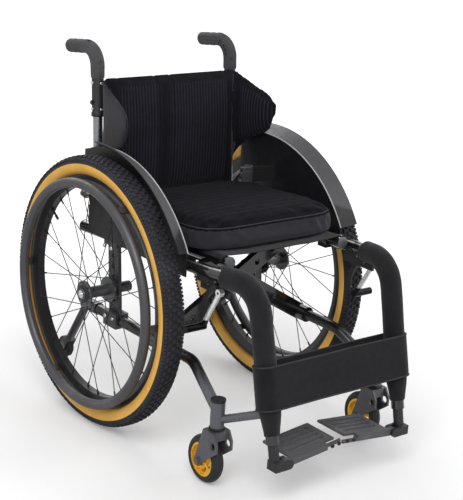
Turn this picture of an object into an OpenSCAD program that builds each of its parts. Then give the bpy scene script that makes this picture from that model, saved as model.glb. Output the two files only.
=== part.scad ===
// Folding sports wheelchair with a cross brace, knobbly rear tyres and gold caster rims.
// Millimetres, +X to the sitter's left, +Z up, the chair faces -Y.
// The shapes are drawn with Y = 0 at the rear axle, then shifted so that the origin is under the middle.

/* [Frame] */
// Distance between the centre lines of the two seat rails
frame_w = 400; // [380:1:420]
// Height of a seat rail's centre line over the rear axle
rail_h = 422; // [412:1:436]
// Slope of the seat, down towards the back, in degrees
seat_dump = 3; // [1:0.5:5]
// Outside diameter of the seat rails and legs
rail_d = 28; // [25:1:30]
// Length of a seat rail behind the rear axle
rail_back = 134; // [124:1:144]
// Where a seat rail starts to taper inwards, ahead of the rear axle
taper_reach = 345; // [335:1:355]
// Where the line of the seat rail meets the line of the leg, ahead of the rear axle
knee_reach = 468; // [460:1:476]
// How far the knee lies inside the line of the seat rail
knee_in = 18; // [12:1:20]
// How far the foot of the leg lies inside the line of the seat rail
foot_in = 24; // [20:1:28]
// Radius of the tube bends, at their centre line
bend_r = 70; // [60:1:76]
// Slope of the leg from upright, in degrees
leg_slope = 13; // [10:0.5:15]
// Height of the lower end of the leg tube
leg_end_h = 134; // [128:1:145]
// Height of the lower rails' centre line
lower_h = 235; // [225:1:245]
// Outside diameter of the lower rails and caster arms
lower_d = 24; // [22:1:26]
// Distance from the chair's middle to a lower rail
lower_x = 203; // [200:1:206]
// Length of a lower rail behind the rear axle
lower_back = 97; // [85:1:105]
// Where a lower rail bends down to the caster, ahead of the rear axle
lower_reach = 300; // [290:1:312]
// Radius of the lower rail's bend
lower_bend_r = 60; // [50:1:80]
// Height where the caster arm meets the head tube
arm_h = 170; // [162:1:176]
// Diameter of the stay from the caster head to the leg
stay_d = 18; // [16:1:20]
// Height where the stay meets the leg
stay_h = 196; // [185:1:205]
// Height where the stay leaves the caster head
stay_head_h = 150; // [146:1:156]

/* [Rear wheels] */
// Diameter of a rear wheel over its tread
wheel_d = 610; // [600:1:616]
// Distance between the centre planes of the rear wheels
track = 506; // [504:1:520]
// Width of a rear tyre
tyre_w = 50; // [44:1:52]
// Height of the rear tyre over the rim
tyre_h = 43; // [40:1:44]
// Width of the rim
rim_w = 30; // [26:1:32]
// Width of the rim at its inner edge
rim_spine_w = 18; // [14:1:22]
// Depth of the rim
rim_depth = 24; // [20:1:28]
// Depth of the rim's straight flank
rim_flank = 9; // [8:1:12]
// Distance from the centre of one handrim tube to the wheel's axis
handrim_r = 248; // [244:1:250]
// Diameter of the handrim tube
handrim_d = 22; // [18:1:23]
// Distance from the wheel's centre plane to the handrim
handrim_out = 40; // [39:1:46]
// Number of tabs that hold a handrim
handrim_tabs = 6; // [4:1:8]
// Number of spokes of one slant on one flange
spoke_sets = 7; // [6:1:8]
// Diameter of a spoke
spoke_d = 2; // [1.8:0.1:2.4]
// Diameter of the hub's flanges
flange_d = 58; // [50:1:64]
// Thickness of a hub flange
flange_t = 4; // [3:0.5:5]
// Diameter of the hub's barrel
barrel_d = 26; // [22:1:32]
// Distance over the hub's flanges
hub_w = 66; // [62:1:66]
// Length of the hub's nose outside its outer flange
nose_h = 5; // [4:0.5:8]
// Diameter of the hub's nose
nose_d = 24; // [21:1:28]
// Diameter of the quick-release axle
axle_d = 12.7; // [12:0.1:13]
// Where the inner end of the axle lies, from the chair's middle
axle_tail_x = 165; // [160:1:170]
// Diameter of the axle's push button
button_d = 6; // [5:0.5:7]
// Travel of the push button
button_travel = 3; // [2:0.5:4]

/* [Casters] */
// Diameter of a caster wheel over its tyre
caster_d = 104; // [100:1:106]
// Width of a caster tyre
caster_w = 28; // [24:1:30]
// Height of the caster tyre over its rim
caster_tyre_h = 15; // [12:1:18]
// Distance between the two caster stems' axes
caster_track = 448; // [444:1:452]
// How far the caster stem is ahead of the rear axle
caster_reach = 418; // [412:1:422]
// How far the caster wheel trails its stem
caster_trail = 30; // [26:1:34]
// Height of the lower end of the caster head tube
head_low = 130; // [128:1:134]
// Height of the upper end of the caster head tube
head_high = 192; // [188:1:198]
// Outside diameter of the caster head tube
head_d = 30; // [28:1:32]
// Diameter of the caster stem
stem_d = 12; // [10:1:14]
// Thickness of a caster fork blade
blade_t = 5; // [4:0.5:6]
// Width of a caster fork blade at its wheel end
blade_w = 24; // [22:1:28]
// Diameter of the caster axle
caster_axle_d = 8; // [8:1:10]
// Diameter of the hole in a fork blade
blade_hole_d = 16; // [12:1:18]

/* [Back] */
// Distance between the two back canes
cane_w = 374; // [366:1:376]
// Diameter of a back cane
cane_d = 22; // [19:1:23]
// How far a cane's foot is behind the rear axle
cane_back = 101; // [99:1:105]
// Slope of the canes, in degrees
recline = 4; // [3:0.5:5]
// Height of the top of a cane over the seat rails
cane_top = 313; // [298:1:323]
// Height of the lower end of the push handle's sleeve over the seat rails
handle_low = 253; // [238:1:268]
// Outside diameter of the push handle
handle_d = 27; // [26:0.5:28]
// Height of the push grip's line over the seat rails
handle_h = 405; // [398:1:410]
// Length of the push grip behind its bend
handle_reach = 106; // [100:1:112]
// Drop of the push grip's tip
handle_drop = 13; // [8:1:18]
// Bend radius of the push handle
handle_bend_r = 42; // [40:1:46]
// Outside diameter of the rubber grip
grip_d = 32; // [31:0.5:33]
// Height where the rubber grip starts, over the seat rails
grip_low = 335; // [328:1:343]
// Thickness of the back's padding
back_t = 26; // [20:1:30]
// Height of the back's lower edge over the seat rails
back_low = 60; // [54:1:72]
// Height of the back's top edge over the seat rails
back_high = 345; // [330:1:352]
// Width of the back's flat middle
back_mid_w = 360; // [354:1:362]
// Length of a back wing along its curve
wing_len = 150; // [140:1:156]
// Angle that a back wing turns forward, in degrees
wing_turn = 84; // [82:1:88]
// Drop of a wing's top edge towards its tip
wing_drop = 52; // [44:1:58]
// Rise of a wing's lower edge towards its tip
wing_rise = 153; // [143:1:160]

/* [Side guards] */
// Radius of the guard's top edge about the rear axle
guard_r = 318; // [314:1:322]
// Thickness of the guard panel
guard_t = 3; // [2.5:0.5:4]
// Width of the curved flange on the guard
flange_w = 34; // [28:1:38]
// How much further from the axle the flange's outer edge is
flange_lift = 18; // [14:1:22]
// Angle above level where the guard ends at the front, in degrees
guard_front = 30; // [28:1:34]
// Angle above level where the flange ends at the back, in degrees
flange_back = 96; // [90:1:100]

/* [Cross brace and seat] */
// How far the cross brace is ahead of the rear axle
cross_reach = 172; // [164:1:180]
// Width of a cross arm
arm_w = 38; // [32:1:42]
// Thickness of a cross arm
arm_t = 16; // [14:1:18]
// Diameter of the bolt in the middle of the cross
cross_bolt_d = 12; // [10:1:14]
// Diameter of a sleeve round the lower rail
sleeve_d = 36; // [34:1:40]
// Length of a sleeve round the lower rail
sleeve_len = 58; // [50:1:64]
// Diameter of the holes that lighten an arm
arm_hole_d = 14; // [10:1:18]
// Distance between the centre lines of the seat tubes
seat_tube_w = 314; // [306:1:318]
// Diameter of a seat tube
seat_tube_d = 25; // [22:1:26]
// Height of a seat tube's centre line over the seat rails' centre line
seat_tube_rise = 16; // [16:1:20]
// Front end of a seat tube, ahead of the rear axle
seat_tube_front = 343; // [335:1:345]
// Rear end of a seat tube, behind the rear axle
seat_tube_back = 60; // [50:1:62]
// Thickness of the seat sling
sling_t = 2.5; // [2:0.5:3]
// Width of the cushion
cushion_w = 410; // [400:1:412]
// Depth of the cushion, front to back
cushion_l = 390; // [380:1:396]
// Height of the cushion's side
cushion_h = 54; // [46:1:58]
// Rise of the cushion's crown over its sides
cushion_crown = 9; // [6:1:14]
// How far the cushion's sides draw in between its corners
cushion_draw = 5; // [3:1:8]
// Front edge of the cushion, ahead of the rear axle
cushion_front = 318; // [312:1:324]

/* [Legs and feet] */
// Outside diameter of the leg pads
pad_d = 47; // [42:1:49]
// Where a leg pad starts on the seat rail, ahead of the rear axle
pad_start = 378; // [370:1:382]
// Height of a leg pad's lower end
pad_end_h = 150; // [148:1:160]
// Height of the calf strap's lower edge
strap_low = 205; // [198:1:212]
// Width of the calf strap's band
strap_w = 88; // [80:1:95]
// Thickness of the calf strap
strap_t = 3; // [2:0.5:4]
// Diameter of the foot hanger's tube
hanger_d = 22; // [20:1:23]
// Length of the hanger's tube inside the leg
hanger_in = 50; // [40:1:60]
// Height of the footplates' hinge
foot_h = 92; // [88:1:98]
// How far the footplates' hinge is inside the foot of the leg
foot_hinge_in = 27; // [26:1:28]
// Diameter of the footplates' hinge pin
foot_pin_d = 8; // [7:0.5:9]
// Slope of the footplates, up to the middle, in degrees
foot_slope = 6; // [4:0.5:7]
// Half of the gap between the two footplates
foot_gap = 13; // [13:0.5:14]
// Depth of a footplate behind its bar
foot_l = 84; // [74:1:88]
// Thickness of a footplate
foot_t = 5; // [4:0.5:6]
// Height and depth of a footplate's bar
foot_bar = 14; // [12:1:15]
// Number of slots in a footplate
foot_slots = 4; // [3:1:5]
// Width of a slot in a footplate
foot_slot_w = 7; // [5:1:9]

/* [Brakes] */
// Where the brake lever's pivot is, ahead of the rear axle
brake_reach = 390; // [386:1:394]
// Height of the brake lever's pivot under the seat rail's centre line
brake_drop = 28; // [26:1:32]
// Length of the brake lever
brake_len = 100; // [96:1:104]
// Slope of the brake lever, down towards the tyre, in degrees
brake_slope = 30; // [28:1:32]
// Diameter of the brake lever's rod
brake_rod_d = 11; // [9:1:12]
// Distance from the chair's middle to the brake's plane
brake_x = 215; // [213:1:218]
// Distance between the pivots of the lever and the arm
brake_pitch = 30; // [26:1:34]
// Diameter of the brake shoe
shoe_d = 16; // [14:1:18]
// Length of the brake shoe
shoe_len = 50; // [44:1:54]
// Diameter of the brake's pivots
brake_pin_d = 6; // [5:0.5:7]

/* [Anti-tip wheels] */
// How far the anti-tip wheel is behind the rear axle
tip_back = 200; // [190:1:205]
// Height of the anti-tip wheel's axis
tip_h = 98; // [90:1:110]
// Diameter of the anti-tip tube
tip_tube_d = 19; // [16:1:20]
// Diameter of the anti-tip wheel
tip_wheel_d = 50; // [44:1:56]
// Width of the anti-tip wheel
tip_wheel_w = 18; // [14:1:20]

/* [Hidden] */
// Radial clearance of a turning fit
run_clear = 0.05;
// Gap between pieces that pass each other
pass_clear = 0.4;
// Gap between a soft piece and what carries it
soft_clear = 0.3;
// How far a cutting shape runs past what it cuts
overrun = 2;
// How far a bar's straight run enters a bend, and how much fuller the bend is
bend_lap = 1;
bend_swell = 0.25;
// Facets of a round shape, and of a large round shape
$fn = 48;
wheel_fn = 96;

function unit(v) = v / norm(v);
function clamp(t) = min(1, max(0, t));

// Rear wheels and axle plates
wheel_r = wheel_d / 2;
bead_r = wheel_r - tyre_h;
rim_r = bead_r - rim_depth;
flange_r = flange_d / 2;
axle_r = axle_d / 2;
hub_half = hub_w / 2;
rim_seat_clear = 0.1;
spoke_cross_turn = 360 / spoke_sets;
spoke_rim_out = 5;
spoke_side = 1.6;
tab_w = 16;
tab_t = 5;
tab_inset = 1.5;
tab_turn_share = 0.5;
axle_out = track / 2 + hub_half + nose_h + pass_clear;
axle_head_d = 18;
axle_head_t = 3;
button_depth = 14;
button_proud = 4;
receiver_d = 24;
receiver_gap = 0.5;
plate_t = 8;
plate_w = 40;
plate_tilt = 5;
plate_pitch = 25;
plate_hole_d = 13;
plate_holes = [-1, 1, 2, 3];
plate_clamp_w = 50;
plate_clamp_wall = 5;
plate_nut_d = 30;
plate_nut_t = 6;

// Seat rails and legs
rail_x = frame_w / 2;
rail_r = rail_d / 2;
knee_x = rail_x - knee_in;
foot_x = rail_x - foot_in;
function rail_z(y) = rail_h - y * tan(seat_dump);
knee_z = rail_z(-knee_reach);
function leg_y(z) = -knee_reach - (knee_z - z) * tan(leg_slope);
function leg_x(z) = knee_x - (knee_x - foot_x) * (knee_z - z) / (knee_z - leg_end_h);
function leg_at(z) = [leg_x(z), leg_y(z), z];
function rail_at(y) = [rail_x, y, rail_z(y)];
leg_dir = unit(leg_at(0) - leg_at(leg_end_h));
leg_path = [rail_at(rail_back), rail_at(-taper_reach), leg_at(knee_z), leg_at(leg_end_h)];
taper_dir = unit(leg_at(knee_z) - rail_at(-taper_reach));
pad_first = rail_at(-taper_reach) + taper_dir * (pad_start - taper_reach) / abs(taper_dir.y);
pad_path = [pad_first, leg_at(knee_z), leg_at(pad_end_h)];
hanger_r = hanger_d / 2;
saddle_len = 26;
saddle_wall = 6;
saddle_lip_drop = 3;
saddle_places = [-seat_tube_front + 2 * saddle_len, seat_tube_back - 2 * saddle_len];
socket_w = 34;
socket_h = 46;
socket_base = 10;

// Lower rails and caster heads
lower_r = lower_d / 2;
head_x = caster_track / 2;
lower_path = [
    [lower_x, lower_back, lower_h],
    [lower_x, -lower_reach, lower_h],
    [head_x, -caster_reach, arm_h]
];
stay_start = [head_x, -caster_reach, stay_head_h];
stay_end = leg_at(stay_h);
stay_cope = 60;
cap_t = 5;
cap_lip = 1;

// Casters
caster_r = caster_d / 2;
caster_rim_r = caster_r - caster_tyre_h;
caster_pos = [head_x, -caster_reach + caster_trail, caster_r];
caster_rim_w = caster_w * 0.86;
caster_hub_d = 22;
caster_web_t = 10;
caster_rim_wall = 5;
caster_windows = 5;
caster_window_share = 0.9;
fork_side_gap = 3;
fork_gap = caster_w + 2 * fork_side_gap;
fork_out = fork_gap / 2 + blade_t;
fork_top = head_low - pass_clear;
crown_gap = 5;
fork_crown_t = fork_top - caster_d - crown_gap;
crown_d = 34;
blade_brow_share = 0.85;
blade_hole_share = 1.4;
stem_short = 4;
stem_top = head_high - stem_short;
fork_bolt_d = 14;
fork_bolt_t = 4;

// Back canes and handles
cane_x = cane_w / 2;
cane_foot = rail_z(cane_back) + socket_base + rail_r / 2;
function cane_y(z) = cane_back + (z - rail_h) * tan(recline);
function cane_at(z) = [cane_x, cane_y(z), z];
function cane_over(h) = cane_at(rail_h + h);
handle_corner = cane_over(handle_h);
handle_tip = handle_corner + [0, handle_reach, -handle_drop];
handle_path = [cane_over(handle_low), handle_corner, handle_tip];
grip_cap = 6;
grip_path = [cane_over(grip_low), handle_corner, handle_tip + unit(handle_tip - handle_corner) * grip_cap];
stub_rise = 63;
stub_h = rail_h + stub_rise;
stub_d = 16;
stub_len = 46;
stub_knob_d = 22;
stub_knob_t = 14;

// Back upholstery
back_rows = 12;
back_mid_cols = 5;
back_bend_cols = 4;
back_wing_cols = 9;
back_hem = 6;
back_ease = 22;
wing_bend_r = 18;
wing_heel = 45;
wing_brow = 15;
wing_rise_power = 0.36;
wing_round_share = 0.25;
wing_thin_share = 0.4;
wing_arc = wing_bend_r * wing_turn * PI / 180;

// Side guards
guard_side_gap = 0.2;
guard_x = rail_x + rail_r + guard_side_gap;
guard_lap = 8;
guard_low = rail_h - guard_lap;
guard_rear = 95;
guard_clamp_d = 34;
guard_clamp_open = 1;
guard_clamp_t = 14;
guard_band_w = 14;
guard_edge_r = guard_r - guard_band_w;
guard_mid_r = guard_r - guard_band_w / 2;
guard_clamp_lean = cane_y(wheel_r) * cos(recline);
guard_clamp_reach = sqrt(pow(guard_mid_r, 2) - pow(guard_clamp_lean, 2)) - cane_y(wheel_r) * sin(recline);
guard_strap_h = wheel_r + guard_clamp_reach * cos(recline);
flange_proud = 0.4;
flange_root_r = guard_r + flange_proud;
guard_bolt_shares = [0.72, 0.19];
guard_bolt_places = [for (share = guard_bolt_shares) -share * guard_r];

// Cross brace
cross_y = -cross_reach;
tube_x = seat_tube_w / 2;
function tube_z(y) = rail_z(y) + seat_tube_rise;
cross_rise = tube_z(cross_y) - lower_h;
cross_angle = atan2(cross_rise, lower_x + tube_x);
cross_mid_z = lower_h + lower_x * tan(cross_angle);
arm_len = norm([lower_x + tube_x, cross_rise]);
arm_stop = 10;
arm_gap = 1;
cross_head_d = 22;
cross_head_t = 5;
arm_hole_shares = [0.22, 0.36, 0.7, 0.82];

// Seat
sling_inset = 8;
cushion_rings = 48;
cushion_edge = 10;
cushion_corner_power = 5;
cushion_crown_shares = [0.25, 0.5, 0.75, 0.92];

// Calf strap and lap belt
strap_gap = 1;
belt_w = 38;
belt_t = 3;
belt_y = -32;
belt_in = 63;
belt_edge_gap = 2.2;
belt_skew = 8;
belt_up = 27;
belt_tilt = 4;
belt_start = [guard_x - belt_edge_gap, belt_y, tube_z(belt_y) + seat_tube_d / 2 + cushion_h + belt_up];
belt_end = belt_start + [-belt_in, belt_skew, belt_tilt];
buckle_w = 46;
buckle_l = 34;
buckle_t = 12;

// Footplates
foot_y = leg_y(foot_h);
foot_hinge_lead = 4;
foot_hinge = [foot_x - foot_hinge_in, foot_y - foot_hinge_lead, foot_h];
foot_ear_t = 6;
foot_ear_d = 20;
foot_ear_y = foot_bar / 2 + pass_clear;
foot_lug_end = 42;
foot_lug_over = 1;
foot_lug_t = 5;
foot_lug_gap = 0.6;
foot_margin = 14;
knuckle_d = 18;
foot_slot_share = 0.72;

// Brakes
brake_pivot_y = -brake_reach;
brake_pivot_z = rail_z(-brake_reach) - brake_drop;
brake_link_y = brake_pivot_y + brake_pitch;
shoe_y = brake_pivot_y + brake_len * sin(brake_slope);
shoe_z = brake_pivot_z - brake_len * cos(brake_slope);
brake_arm_t = 5;
brake_arm_w = 12;
brake_arm_bow = 13;
brake_eye_d = 16;
brake_plate_t = 6;
brake_plate_h = 26;
brake_plate_share = 0.6;
brake_slot_d = 7;
brake_clamp_w = 36;
brake_clamp_wall = 7;
brake_layer_gap = 1;
brake_lever_x = brake_x - brake_rod_d / 2;
brake_arm_x = brake_lever_x - brake_arm_t - brake_layer_gap;
brake_bracket_x = brake_arm_x - brake_plate_t - brake_layer_gap;

// Anti-tip wheels
tip_lead = 14;
tip_start = [lower_x, lower_back + tip_lead, lower_h];
tip_end = [lower_x, tip_back, tip_h];
tip_dir = unit(tip_end - tip_start);
tip_sleeve_len = 34;
tip_sleeve_wall = 2.5;
tip_fork_t = 3;
tip_half = tip_wheel_w / 2 + pass_clear + tip_fork_t;
tip_pin_half = tip_half + tip_fork_t / 2;
tip_side_gap = 3;
tip_clear = tip_wheel_d / 2 + tip_side_gap;
tip_axle_d = 6;
tip_round = 4;

// Bolts
bolt_d = 10;
bolt_t = 4;

front_reach = -foot_hinge.y + foot_ear_y + foot_ear_t;
// Shift that puts the origin under the middle of the chair
axle_y = (front_reach - wheel_r) / 2;

// Colours of the finishes
gloss_black = [0.05, 0.05, 0.06];
soft_black = [0.09, 0.09, 0.1];
gunmetal = [0.3, 0.31, 0.34];
steel = [0.78, 0.78, 0.8];
gold = [0.95, 0.68, 0.12];
amber = [0.85, 0.6, 0.25];

// A frame given by a point and three directions
module placed(p, ex, ey, ez)
    multmatrix([
        [ex.x, ey.x, ez.x, p.x],
        [ex.y, ey.y, ez.y, p.y],
        [ex.z, ey.z, ez.z, p.z],
        [0, 0, 0, 1]
    ]) children();

// A round bar from one point to another
module rod(a, b, r) {
    v = b - a;
    translate(a) rotate([0, acos(v.z / norm(v)), atan2(v.y, v.x)]) cylinder(r = r, h = norm(v));
}

// A round bar along straight runs that are joined by bends of one radius
module bent_rod(path, r, bend) {
    last = len(path) - 1;
    dirs = [for (i = [0 : last - 1]) unit(path[i + 1] - path[i])];
    turns = [for (i = [0 : last]) i == 0 || i == last ? 0 : acos(dirs[i - 1] * dirs[i])];
    cuts = [for (t = turns) bend * tan(t / 2)];
    ends = [for (t = turns) t == 0 ? 0 : bend * tan(t / 2) - bend_lap];
    for (i = [0 : last - 1])
        rod(path[i] + dirs[i] * ends[i], path[i + 1] - dirs[i] * ends[i + 1], r);
    for (i = [1 : last - 1]) {
        axis = unit(cross(dirs[i - 1], dirs[i]));
        inward = cross(axis, dirs[i - 1]);
        placed(path[i] - dirs[i - 1] * cuts[i] + inward * bend, -inward, dirs[i - 1], axis)
            rotate_extrude(angle = turns[i]) translate([bend, 0]) circle(r = r + bend_swell);
    }
}

// A round bar along X, from one X to another
module x_rod(x0, x1, y, z, r) rod([x0, y, z], [x1, y, z], r);

// A round bar along Y, from one Y to another
module y_rod(x, y0, y1, z, r) rod([x, y0, z], [x, y1, z], r);

// A box between two corners
module block(low, high) translate(low) cube(high - low);

// Draws a flat shape, given in Y and Z, as a plate between two X
module side_plate(x0, x1) translate([x0, 0, 0]) rotate([90, 0, 90]) linear_extrude(x1 - x0) children();

// A flat bar along an arc in its own plane, from a to b, with the given rise over the chord
module arc_bar(a, b, rise, w, t) {
    chord = norm(b - a);
    r = (chord * chord / 4 + rise * rise) / (2 * rise);
    half = asin(chord / 2 / r);
    out = [-(b - a).y, (b - a).x] / chord;
    translate((a + b) / 2 - out * (r - rise)) rotate(atan2(out.y, out.x) - half)
        rotate_extrude(angle = 2 * half) translate([r - w / 2, 0]) square([w, t]);
}

// Puts a revolved shape on the rear axle, with its axis outwards
module on_axle() translate([track / 2, 0, wheel_r]) rotate([0, 90, 0]) children();

// Puts a shape that is drawn for the left side on either side of the chair
module on_side(side) mirror([side == "right" ? 1 : 0, 0, 0]) translate([0, axle_y, 0]) children();

// Frame

module side_tube() color(gloss_black) difference() {
    union() {
        bent_rod(leg_path, rail_r, bend_r);
        for (y = saddle_places) saddle(y);
        block(
            [cane_x - socket_w / 2, cane_back - socket_w / 2, rail_z(cane_back)],
            [cane_x + socket_w / 2, cane_back + socket_w / 2, cane_foot + socket_h - socket_base]
        );
    }
    leg_end = leg_at(leg_end_h);
    rod(leg_end - leg_dir * hanger_in, leg_end + leg_dir * overrun, hanger_r + run_clear);
    seat_tube(seat_tube_d / 2 + pass_clear);
    rod(cane_at(cane_foot), cane_over(cane_top), cane_d / 2 + run_clear);
}

// Cradle on the seat rail for the seat tube
module saddle(y) block(
    [tube_x - seat_tube_d / 2, y - saddle_len / 2, tube_z(y) - seat_tube_d / 2 - saddle_wall],
    [rail_x, y + saddle_len / 2, tube_z(y) - saddle_lip_drop]
);

// Bar on the line of a seat tube
module seat_tube(r) rod(
    [tube_x, -seat_tube_front, tube_z(-seat_tube_front)],
    [tube_x, seat_tube_back, tube_z(seat_tube_back)],
    r
);

module lower_rail() color(gunmetal) difference() {
    union() {
        bent_rod(lower_path, lower_r, lower_bend_r);
        translate([head_x, -caster_reach, head_low]) cylinder(d = head_d, h = head_high - head_low);
        rod(stay_start, stay_end, stay_d / 2);
    }
    translate([head_x, -caster_reach, 0]) cylinder(r = stem_d / 2 + run_clear, h = head_high + overrun);
    rod(leg_at(stay_h - stay_cope), leg_at(stay_h + stay_cope), rail_r + run_clear);
}

module axle_plate() color(gunmetal) difference() {
    union() {
        translate([lower_x, 0, wheel_r]) rotate([-plate_tilt, 0, 0])
            block(
                [-plate_t / 2, -plate_w / 2, lower_h - wheel_r],
                [plate_t / 2, plate_w / 2, rail_h - wheel_r]
            );
        plate_clamps();
        x_rod(axle_tail_x + receiver_gap, track / 2 - hub_half - receiver_gap, 0, wheel_r, receiver_d / 2);
        nut_x = plate_t / 2 + plate_nut_t;
        x_rod(lower_x - nut_x, lower_x + nut_x, 0, wheel_r, plate_nut_d / 2);
    }
    x_rod(0, track, 0, wheel_r, axle_r + run_clear);
    rod(rail_at(rail_back), rail_at(-taper_reach), rail_r + run_clear);
    y_rod(lower_x, lower_back + overrun, -lower_reach, lower_h, lower_r + run_clear);
    for (k = plate_holes) translate([0, 0, wheel_r]) rotate([-plate_tilt, 0, 0])
        x_rod(0, track, 0, k * plate_pitch, plate_hole_d / 2);
}

// Blocks that hold the axle plate under the seat rail and round the lower rail
module plate_clamps() {
    top_y = (rail_h - wheel_r) * tan(plate_tilt);
    low_y = (lower_h - wheel_r) * tan(plate_tilt);
    low_r = lower_r + plate_clamp_wall;
    block(
        [rail_x - rail_r, top_y - plate_clamp_w / 2, rail_h - rail_r - plate_clamp_wall],
        [rail_x + rail_r, top_y + plate_clamp_w / 2, rail_h - rail_r / 2]
    );
    block(
        [lower_x - low_r, low_y - plate_clamp_w / 2, lower_h - low_r],
        [lower_x + low_r, low_y + plate_clamp_w / 2, lower_h + low_r]
    );
}

module frame_bolts() color(soft_black) {
    for (y = guard_bolt_places) bolt_head(guard_x + guard_t, y, rail_z(y));
    rod(rail_at(rail_back), rail_at(rail_back + cap_t), rail_r);
    difference() {
        translate([head_x, -caster_reach, head_high]) cylinder(r = head_d / 2 + cap_lip, h = cap_t);
        bent_rod(lower_path, lower_r + pass_clear, lower_bend_r);
    }
    bolt_head(cane_x + socket_w / 2, cane_back, cane_foot + socket_base);
    handle_bolt = cane_over((handle_low + cane_top) / 2);
    bolt_head(cane_x + handle_d / 2, handle_bolt.y, handle_bolt.z);
}

// Head of a bolt that lies on a face towards the outside
module bolt_head(x, y, z) x_rod(x, x + bolt_t, y, z, bolt_d / 2);

// Back

module cane() color(steel) {
    rod(cane_at(cane_foot), cane_over(cane_top), cane_d / 2);
    stub_y = cane_y(stub_h) + stub_len;
    y_rod(cane_x, cane_y(stub_h), stub_y, stub_h, stub_d / 2);
    y_rod(cane_x, stub_y, stub_y + stub_knob_t, stub_h, stub_knob_d / 2);
}

module push_handle() color(gloss_black) difference() {
    bent_rod(handle_path, handle_d / 2, handle_bend_r);
    rod(cane_over(handle_low - overrun), cane_over(cane_top), cane_d / 2 + run_clear);
}

module hand_grip() color(soft_black) difference() {
    bent_rod(grip_path, grip_d / 2, handle_bend_r);
    bent_rod(handle_path, handle_d / 2 + run_clear, handle_bend_r);
}

module side_guard() color(gunmetal) difference() {
    union() {
        side_plate(guard_x, guard_x + guard_t) {
            intersection() {
                translate([0, wheel_r]) circle(r = guard_r, $fn = wheel_fn);
                translate([-guard_r * cos(guard_front), guard_low])
                    square([guard_r * cos(guard_front) + guard_rear, guard_r]);
            }
            intersection() {
                guard_band();
                translate([0, wheel_r]) square([cane_y(guard_strap_h), guard_r]);
            }
        }
        on_axle() translate([0, 0, guard_x - track / 2]) rotate(-90 - flange_back)
            rotate_extrude(angle = flange_back - guard_front, $fn = wheel_fn) polygon([
                [flange_root_r, 0], [flange_root_r + flange_lift, flange_w],
                [flange_root_r + flange_lift - guard_t, flange_w], [flange_root_r - guard_t, 0]
            ]);
        guard_clamp();
    }
    cane_run(guard_clamp_d, cane_d / 2 + run_clear);
}

// Narrow ring along the guard's top edge
module guard_band() translate([0, wheel_r]) difference() {
    circle(r = guard_r, $fn = wheel_fn);
    circle(r = guard_edge_r, $fn = wheel_fn);
}

// Round bar on the line of the cane, to either side of the guard's clamp
module cane_run(reach, r) rod(cane_at(guard_strap_h - reach), cane_at(guard_strap_h + reach), r);

// Clip that holds the guard's rear end on the cane, open towards the back
module guard_clamp() {
    middle = cane_at(guard_strap_h);
    difference() {
        cane_run(guard_clamp_t / 2, guard_clamp_d / 2);
        block(
            [cane_x - guard_clamp_d, middle.y - guard_clamp_d, guard_strap_h - guard_clamp_d],
            [cane_x + guard_clamp_d, middle.y - cane_d / 2 + guard_clamp_open, guard_strap_h + guard_clamp_d]
        );
    }
    block(
        [cane_x, middle.y - guard_clamp_t / 2, guard_strap_h - guard_clamp_t / 2],
        [guard_x + guard_t, middle.y + guard_clamp_t / 2, guard_strap_h + guard_clamp_t / 2]
    );
}

// Cross brace

// One arm, from the right lower rail to the left seat tube, with its layer's middle at the given Y
module cross_arm(layer_y) color(gloss_black) difference() {
    union() {
        translate([-lower_x, layer_y, lower_h]) rotate([0, -cross_angle, 0])
            block([0, -arm_t / 2, -arm_w / 2], [arm_len - arm_stop, arm_t / 2, arm_w / 2]);
        y_rod(-lower_x, cross_y - sleeve_len / 2, cross_y + sleeve_len / 2, lower_h, sleeve_d / 2);
        seat_tube(seat_tube_d / 2);
    }
    y_rod(-lower_x, -lower_reach, lower_back, lower_h, lower_r + run_clear);
    y_rod(0, -lower_reach, lower_back, cross_mid_z, cross_bolt_d / 2 + run_clear);
    for (share = arm_hole_shares) translate([-lower_x, 0, lower_h]) rotate([0, -cross_angle, 0])
        y_rod(share * arm_len, -lower_reach, lower_back, 0, arm_hole_d / 2);
}

module cross_pivot() color(steel) {
    front = cross_y - arm_gap / 2 - arm_t;
    rear = cross_y + arm_gap / 2 + arm_t + pass_clear;
    y_rod(0, front, rear, cross_mid_z, cross_bolt_d / 2);
    y_rod(0, front - cross_head_t, front, cross_mid_z, cross_head_d / 2);
    y_rod(0, rear, rear + cross_head_t, cross_mid_z, cross_head_d / 2);
}

// Rear wheels

module tyre() color(amber) on_axle() rotate_extrude($fn = wheel_fn) difference() {
    translate([wheel_r - tyre_w / 2, 0]) circle(d = tyre_w);
    translate([0, -tyre_w]) square([bead_r, 2 * tyre_w]);
}

module rim() color(gloss_black) on_axle() rotate_extrude($fn = wheel_fn) polygon([
    [bead_r - rim_seat_clear, -rim_w / 2], [bead_r - rim_seat_clear, rim_w / 2],
    [bead_r - rim_flank, rim_w / 2], [rim_r, rim_spine_w / 2],
    [rim_r, -rim_spine_w / 2], [bead_r - rim_flank, -rim_w / 2]
]);

module hub() color(gunmetal) on_axle() rotate_extrude() polygon([
    [axle_r + run_clear, -hub_half], [flange_r, -hub_half],
    [flange_r, flange_t - hub_half], [barrel_d / 2, flange_t - hub_half],
    [barrel_d / 2, hub_half - flange_t], [flange_r, hub_half - flange_t],
    [flange_r, hub_half], [nose_d / 2, hub_half],
    [nose_d / 2, hub_half + nose_h], [axle_r + run_clear, hub_half + nose_h]
]);

module spokes() color(gloss_black) on_axle() intersection() {
    for (flange = [-1, 1], slant = [-1, 1], i = [0 : spoke_sets - 1]) spoke(flange, slant, i);
    difference() {
        cylinder(r = rim_r, h = track, center = true, $fn = wheel_fn);
        cylinder(r = flange_r, h = track, center = true);
    }
}

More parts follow.
